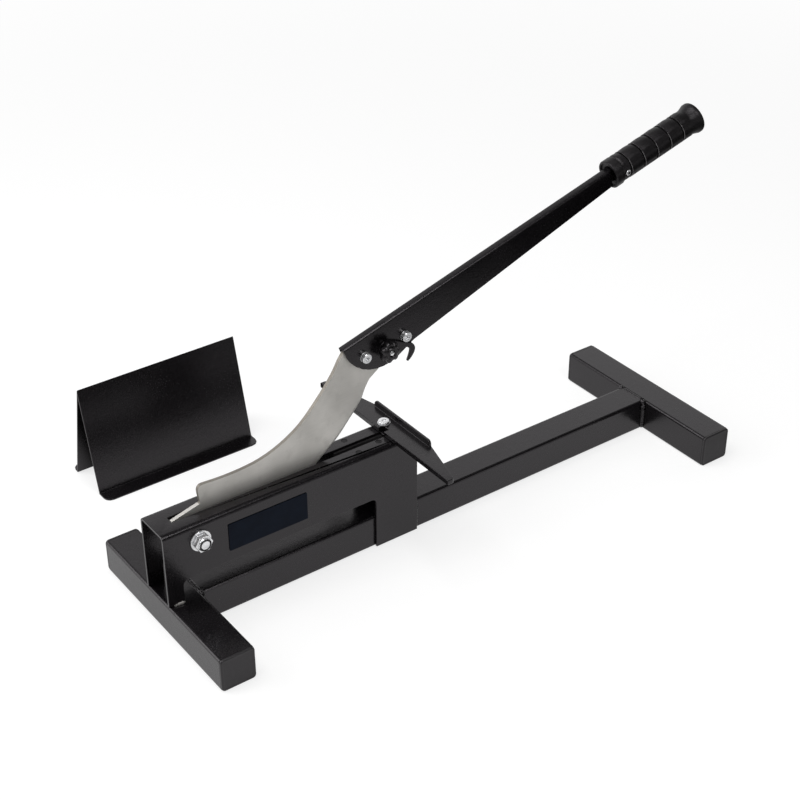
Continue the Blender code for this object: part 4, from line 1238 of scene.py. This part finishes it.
@dataclass(frozen=True)
class SoftBox:
    """One square lamp: its place, the point it faces, the length of its sides and its watts."""

    name: str
    place: Point
    aim: Point
    size: float
    power: float

    def add(self) -> None:
        """Add the lamp to the scene."""
        light = bpy.data.lights.new(self.name, "AREA")
        light.shape = "SQUARE"
        light.size = self.size
        light.energy = self.power
        lamp = bpy.data.objects.new(self.name, light)
        lamp.location = self.place
        direction = Vector(self.aim) - Vector(self.place)
        lamp.rotation_euler = direction.to_track_quat("-Z", "Y").to_euler()
        bpy.context.scene.collection.objects.link(lamp)


@dataclass
class Studio:
    """Pale floor, soft lights and the camera."""

    yaw: float = 0.9443
    pitch: float = 0.5683
    roll: float = -0.004
    place: Point = (-0.9254, -1.2199, 1.1266)
    focal_pixels: float = 1639.4
    frame_pixels: float = 800.0
    sensor: float = 36.0
    nearest: float = 0.05
    lamps: tuple[SoftBox, ...] = (
        SoftBox("overhead_box", (-0.7, 0.1, 2.4), (0, 0, 0), 1.5, 34),
        SoftBox("left_box", (-2.2, 1.4, 1.7), (-0.1, 0, 0.1), 1.6, 22),
        SoftBox("front_box", (0.1, -1.5, 2.1), (0, 0, 0.1), 0.9, 14),
    )
    floor_size: float = 14.0
    floor_drop: float = 0.0002
    floor_tone: float = 0.80
    front_tone: float = 0.02
    horizon_tone: float = 0.90
    back_tone: float = 0.95
    ceiling_tone: float = 0.14
    room_tone: float = 0.01
    paper_tone: float = 0.88
    paper_share: float = 0.7
    floor_glow: float = 0.34
    seen_tone: float = 0.985
    seen_share: float = 0.6
    white_from: float = 0.8
    white_full: float = 2.2
    shade_middle: Point = (-0.192, 0.2795, 0)
    shade_along: Pair = (0.104, 0.076)
    shade_across: Pair = (0.036, 0.030)
    paper_way: Point = (0.6, -0.8, 0)
    paper_near: float = 0.22
    paper_far: float = 0.60
    behind_band: Pair = (-0.30, 0.40)
    ceiling_band: Pair = (0.58, 0.74)
    horizon_band: Pair = (0.165, 0.10)

    def build(self) -> None:
        """Set up the floor, the world, the lamps and the camera."""
        self.build_floor()
        self.build_world()
        for lamp in self.lamps:
            lamp.add()
        self.build_camera()

    def build_floor(self) -> None:
        """Plain pale floor that looks white to the camera and keeps the object's shadow."""
        bm = bmesh.new()
        bmesh.ops.create_grid(bm, x_segments=1, y_segments=1, size=self.floor_size / 2)
        mesh = bpy.data.meshes.new("studio_floor")
        bm.to_mesh(mesh)
        bm.free()
        floor = bpy.data.objects.new("studio_floor", mesh)
        floor.location.z = -self.floor_drop
        bpy.context.scene.collection.objects.link(floor)
        material = bpy.data.materials.new("pale_floor")
        loom = Loom(material)
        grey = (self.floor_tone,) * 3
        loom.set(Base_Color=(*grey, 1), Roughness=0.9, Specular_IOR_Level=0.1)
        path = "ShaderNodeLightPath"
        camera = loom.node(path, output="Is Camera Ray")
        through = loom.node(path, output="Is Transmission Ray")
        glossy = loom.node(path, output="Is Glossy Ray")
        glow = loom.node("ShaderNodeEmission", {"Strength": (camera + through) * self.floor_glow})
        both = loom.node("ShaderNodeAddShader", {1: glow})
        loom.tree.links.new(loom.shader.outputs[0], both.socket.node.inputs[0])
        kind = "ShaderNodeVectorMath"
        sockets = {0: loom.place, 1: self.paper_way}
        away = loom.node(kind, sockets, "Value", operation="DOT_PRODUCT")
        fade = loom.band(away, self.paper_near, self.paper_far)
        # Painted shade: the reflected floor turns dark inside the folded support.
        fade = fade + (1 - fade) * self.painted_shade_under_support(loom)
        mirrored = self.paper_tone + (self.room_tone - self.paper_tone) * fade
        reach = loom.node(kind, {0: loom.place}, "Value", operation="LENGTH")
        distant = loom.band(reach, self.white_from, self.white_full)
        tone = camera * (self.seen_tone + (1 - self.seen_tone) * distant) + glossy * mirrored
        paper = loom.node("ShaderNodeEmission", {"Strength": tone})
        share = glossy * (self.paper_share + (1 - self.paper_share) * fade)
        share = share + camera * (self.seen_share + (1 - self.seen_share) * distant)
        seen = loom.node("ShaderNodeMixShader", {0: share, 1: both, 2: paper})
        output = loom.tree.nodes["Material Output"]
        loom.tree.links.new(seen.socket, output.inputs["Surface"])
        mesh.materials.append(material)

    def painted_shade_under_support(self, loom: Loom) -> Wire:
        """Where the floor's reflected tone gets painted shade inside the folded support.

        Args:
            loom: The floor's node maker.

        Returns:
            One in the shade and nought outside it.
        """
        kind = "ShaderNodeVectorMath"
        sockets = {0: loom.place, 1: self.shade_middle}
        offset = loom.node(kind, sockets, operation="SUBTRACT")
        offset = loom.node(kind, {0: offset}, operation="ABSOLUTE")
        along = loom.node("ShaderNodeSeparateXYZ", {0: offset}, "X")
        across = loom.node("ShaderNodeSeparateXYZ", {0: offset}, "Y")
        return loom.band(along, *self.shade_along) * loom.band(across, *self.shade_across)

    def build_world(self) -> None:
        """Surroundings bright behind the cutter and dim in front, white where the camera looks."""
        world = bpy.data.worlds.new("studio_world")
        bpy.context.scene.world = world
        sky = Loom(world, "Background", "Generated")
        depth = sky.node("ShaderNodeSeparateXYZ", {0: sky.place}, "Y")
        height = sky.node("ShaderNodeSeparateXYZ", {0: sky.place}, "Z")
        behind = sky.band(depth, *self.behind_band)
        ceiling = sky.band(height, *self.ceiling_band)
        horizon = sky.band(height, *self.horizon_band)
        back = behind * (self.back_tone - ceiling * (self.back_tone - self.ceiling_tone))
        front = (1 - behind) * (self.front_tone + horizon * (self.horizon_tone - self.front_tone))
        camera = sky.node("ShaderNodeLightPath", output="Is Camera Ray")
        tone = camera + (1 - camera) * (back + front)
        sky.set(Color=(1, 1, 1, 1), Strength=tone)

    def build_camera(self) -> None:
        """Camera at the photograph's place and angle."""
        level, drop = math.cos(self.pitch), math.sin(self.pitch)
        forward = Vector((math.cos(self.yaw) * level, math.sin(self.yaw) * level, -drop))
        right = Vector((math.sin(self.yaw), -math.cos(self.yaw), 0))
        up = right.cross(forward)
        cos_roll, sin_roll = math.cos(self.roll), math.sin(self.roll)
        rolled_right = right * cos_roll + up * sin_roll
        rolled_up = up * cos_roll - right * sin_roll
        turn = Matrix((rolled_right, rolled_up, -forward)).transposed().to_4x4()
        turn.translation = self.place
        data = bpy.data.cameras.new("photo_camera")
        data.sensor_width = self.sensor
        data.lens = self.sensor * self.focal_pixels / self.frame_pixels
        data.clip_start = self.nearest
        camera = bpy.data.objects.new("photo_camera", data)
        camera.matrix_world = turn
        bpy.context.scene.collection.objects.link(camera)
        bpy.context.scene.camera = camera


def main() -> None:
    """Dress the cutter, sub-assembly by sub-assembly, and set up the studio."""
    logging.basicConfig(level=logging.INFO, format="%(name)s: %(message)s")
    bpy.context.scene.view_settings.view_transform = "Standard"
    looks = Looks()
    makers: Sequence[Callable[[Looks], object]]
    makers = (BaseFrame, Table, Pivot, Fence, Blade, LeverArm, Latch, Grip, VSupport)
    for maker in makers:
        log.info("building %s", maker.__name__)
        maker(looks).build()
    Studio().build()


if __name__ == "__main__":
    main()
